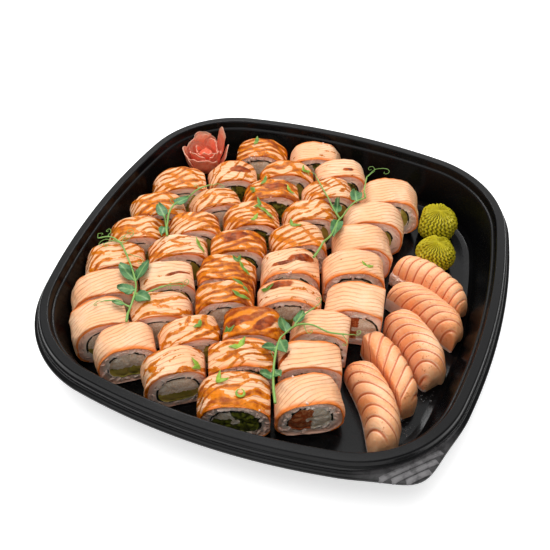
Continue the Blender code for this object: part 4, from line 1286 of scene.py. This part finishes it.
def add_leaf(shape, entry, pieces, spine, seed):
    """Wavy oval leaf folded along its midrib, growing from the spine."""
    x, y, direction, length, width = entry
    heading = math.radians(direction)
    forward = np.array([math.cos(heading), math.sin(heading)])
    root = nearest(spine, np.array([x, y]) - forward * length * 0.4)
    toward = np.array([x, y]) - root[:2]
    if np.linalg.norm(toward) > 3.0:
        forward = toward / np.linalg.norm(toward)
    aside = np.array([-forward[1], forward[0]])
    rows, columns = LEAF_ALONG, LEAF_ACROSS
    draw = np.random.default_rng(seed)
    twist = draw.uniform(-0.25, 0.25)
    shells = [np.empty((rows, columns, 3)) for _ in range(2)]
    pale = np.zeros((rows, columns))
    for row in range(rows):
        share = row / (rows - 1)
        outline = math.sin(math.pi * min(0.05 + 0.93 * share ** 0.85, 1.0)) ** 0.75
        half = width / 2 * max(outline, 0.06)
        if share < 0.12:
            half = min(half, 0.7 + 6 * share * width / 8)
        for column in range(columns):
            edge = 2.0 * column / (columns - 1) - 1.0
            spot = root[:2] + forward * share * length + aside * edge * half
            wave = 1.3 * edge ** 2 * share + 0.5 * share * math.sin(6.0 * share + 2.0 * edge + seed)
            wave += twist * edge * half + 0.25 * abs(math.sin(edge * 7 + share * 16)) * abs(edge)
            height = max(laid_height(*spot, pieces) + 0.5, root[2] - 3.0 * share) + wave
            shells[0][row, column] = (*spot, height + 0.25)
            shells[1][row, column] = (*spot, height - 0.25)
            rib = math.exp(-(edge * half / 0.45) ** 2)
            between = (share * length - abs(edge) * half * 0.9) % 2.6 - 1.3
            side_rib = math.exp(-between ** 2 / 0.06) * 0.35
            pale[row, column] = min(rib + side_rib, 1.0)
    loops = np.concatenate([shells[0], shells[1][:, ::-1]], 1)
    shape.add(loops, tube_faces(rows, columns * 2), 0, pale=np.concatenate([pale, pale[:, ::-1]], 1).ravel())
    shape.close_sheet(rows, columns)


def add_tendril(shape, entry, pieces, spine, seed):
    """Hair-thin tendril that ends in a curl."""
    x, y, direction, length, hand = entry
    root = nearest(spine, (x, y))
    heading = math.radians(direction)
    draw = np.random.default_rng(seed)
    line = [np.array(root, float)]
    for step in range(1, TENDRIL_STEPS):
        share = step / TENDRIL_STEPS
        heading += hand * (0.01 + 0.42 * share ** 3)
        pace = length / TENDRIL_STEPS
        spot = line[-1][:2] + np.array([math.cos(heading), math.sin(heading)]) * pace
        ground = laid_height(*spot, pieces) + 0.4 if step % 6 == 0 else line[-1][2]
        height = line[-1][2] + np.clip(ground - line[-1][2], -0.25, 0.6) + 0.10 * math.sin(share * 15 + seed)
        line.append(np.array([*spot, min(height, TENDRIL_TOP)]))
    radii = TENDRIL_RADIUS * np.linspace(1.0, 0.55, TENDRIL_STEPS) * draw.uniform(0.9, 1.1)
    add_tube(shape, line, radii, 1, 6)


def build_shoots(pieces, materials):
    """Each pea shoot grows from its stem: side stalks, then leaves, then tendrils."""
    for number, shoot in enumerate(SHOOTS, start=1):
        shape = Shape()
        spine = []
        add_stem(shape, shoot["stem"], STEM_RADIUS, pieces, spine)
        for route in shoot["stalks"]:
            add_stem(shape, route, STALK_RADIUS, pieces, spine)
        for index, entry in enumerate(shoot["leaves"]):
            add_leaf(shape, entry, pieces, spine, 900 + 20 * number + index)
        for index, entry in enumerate(shoot["tendrils"]):
            add_tendril(shape, entry, pieces, spine, 1000 + 20 * number + index)
        dressed = shape.finish(f"pea_shoot_{number}_dressed", materials)
        place(dressed, "pea_shoot", f"pea_shoot_{number}")


# Scene

def aim(item, target):
    """Turns a lamp or the camera, which look along their own -Z, toward a point."""
    direction = Vector(target) - item.location
    item.rotation_euler = direction.to_track_quat("-Z", "Y").to_euler()


def add_camera():
    azimuth = math.radians(CAMERA_AZIMUTH)
    elevation = math.radians(CAMERA_ELEVATION)
    back = Vector((math.sin(azimuth) * math.cos(elevation), -math.cos(azimuth) * math.cos(elevation),
                   math.sin(elevation)))
    data = bpy.data.cameras.new("camera")
    data.lens = CAMERA_LENS
    data.sensor_width = 36.0
    data.clip_start = 0.01
    camera = bpy.data.objects.new("camera", data)
    camera.location = (Vector(CAMERA_TARGET) + back * CAMERA_DISTANCE) * MM
    aim(camera, Vector(CAMERA_TARGET) * MM)
    bpy.context.scene.collection.objects.link(camera)
    bpy.context.scene.camera = camera


def add_softbox(name, location, width, depth, power):
    data = bpy.data.lights.new(name, "AREA")
    data.shape = "RECTANGLE"
    data.size = width
    data.size_y = depth
    data.energy = power
    lamp = bpy.data.objects.new(name, data)
    lamp.location = location
    aim(lamp, (0.0, 0.0, 0.0))
    bpy.context.scene.collection.objects.link(lamp)


def add_studio():
    """Pale floor, softboxes and a plain world."""
    shape = Shape()
    corners = [(x * FLOOR_REACH, y * FLOOR_REACH, 0) for x, y in ((-1, -1), (1, -1), (1, 1), (-1, 1))]
    shape.add(corners, [(0, 1, 2, 3)], 0)
    floor = shape.finish("studio_floor", [floor_look()])
    for light in LIGHTS:
        add_softbox(*light)
    world = bpy.data.worlds.new("studio")
    world.use_nodes = True
    world.node_tree.nodes["Background"].inputs["Color"].default_value = (1.0, 1.0, 1.0, 1.0)
    world.node_tree.nodes["Background"].inputs["Strength"].default_value = 0.45
    bpy.context.scene.world = world
    bpy.context.scene.view_settings.view_transform = "Standard"


def list_pieces():
    """Every pressed piece as a turned box seen from above, as in the solids."""
    draw = random.Random(3)
    looks = random.Random(11)
    pieces = []
    for column, rows in ROLL_COLUMNS.items():
        for number, (x, y, turn, width, length) in enumerate(rows, start=1):
            pieces.append({"name": f"{column}{number}", "x": x, "y": y, "turn": turn, "width": width,
                           "length": length, "height": ROLL_HEIGHT + draw.uniform(-0.9, 0.9),
                           "lean": looks.uniform(-0.8, 0.8), "tone": looks.uniform(0.0, 0.6)})
    for x, y, turn, length, width, height, bend, *_ in NIGIRI:
        pieces.append({"name": "nigiri", "x": x, "y": y, "turn": turn, "width": width + bend,
                       "length": length, "height": height})
    return pieces


def main():
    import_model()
    add_camera()
    add_studio()
    pieces = list_pieces()
    rolls = pieces[:-len(NIGIRI)]
    looks = {name: mottled_look(name, **settings) for name, settings in MOTTLED.items()}
    fillings = [looks[name] for name in ("rice", "nori", "cream_cheese", "avocado", "greens", "salmon_strip",
                                         "spring_onion")]
    roll_materials = [salmon_roll_look()] + fillings
    build_tray([tray_look(), water_look()])
    for number, piece in enumerate(rolls, start=1):
        build_roll(piece, contact_planes(piece, pieces), roll_materials, 100 * number)
    nigiri_materials = [nigiri_look(), looks["rice"]]
    for number, piece in enumerate(pieces[-len(NIGIRI):], start=1):
        build_nigiri(number, piece, contact_planes(piece, pieces), nigiri_materials)
    for number, (x, y, radius, height) in enumerate(WASABI, start=1):
        ball = {"x": x, "y": y, "turn": 0, "width": radius * 2, "length": radius * 2}
        build_wasabi(number, (x, y, radius, height), contact_planes(ball, pieces), looks["wasabi"])
    rose = {"x": GINGER_PLACE[0], "y": GINGER_PLACE[1], "turn": 0,
            "width": GINGER_SPREAD, "length": GINGER_SPREAD}
    build_ginger(contact_planes(rose, pieces), looks["pickled_ginger"])
    build_shoots(pieces, [looks["pea_leaf"], looks["pea_stem"]])


main()
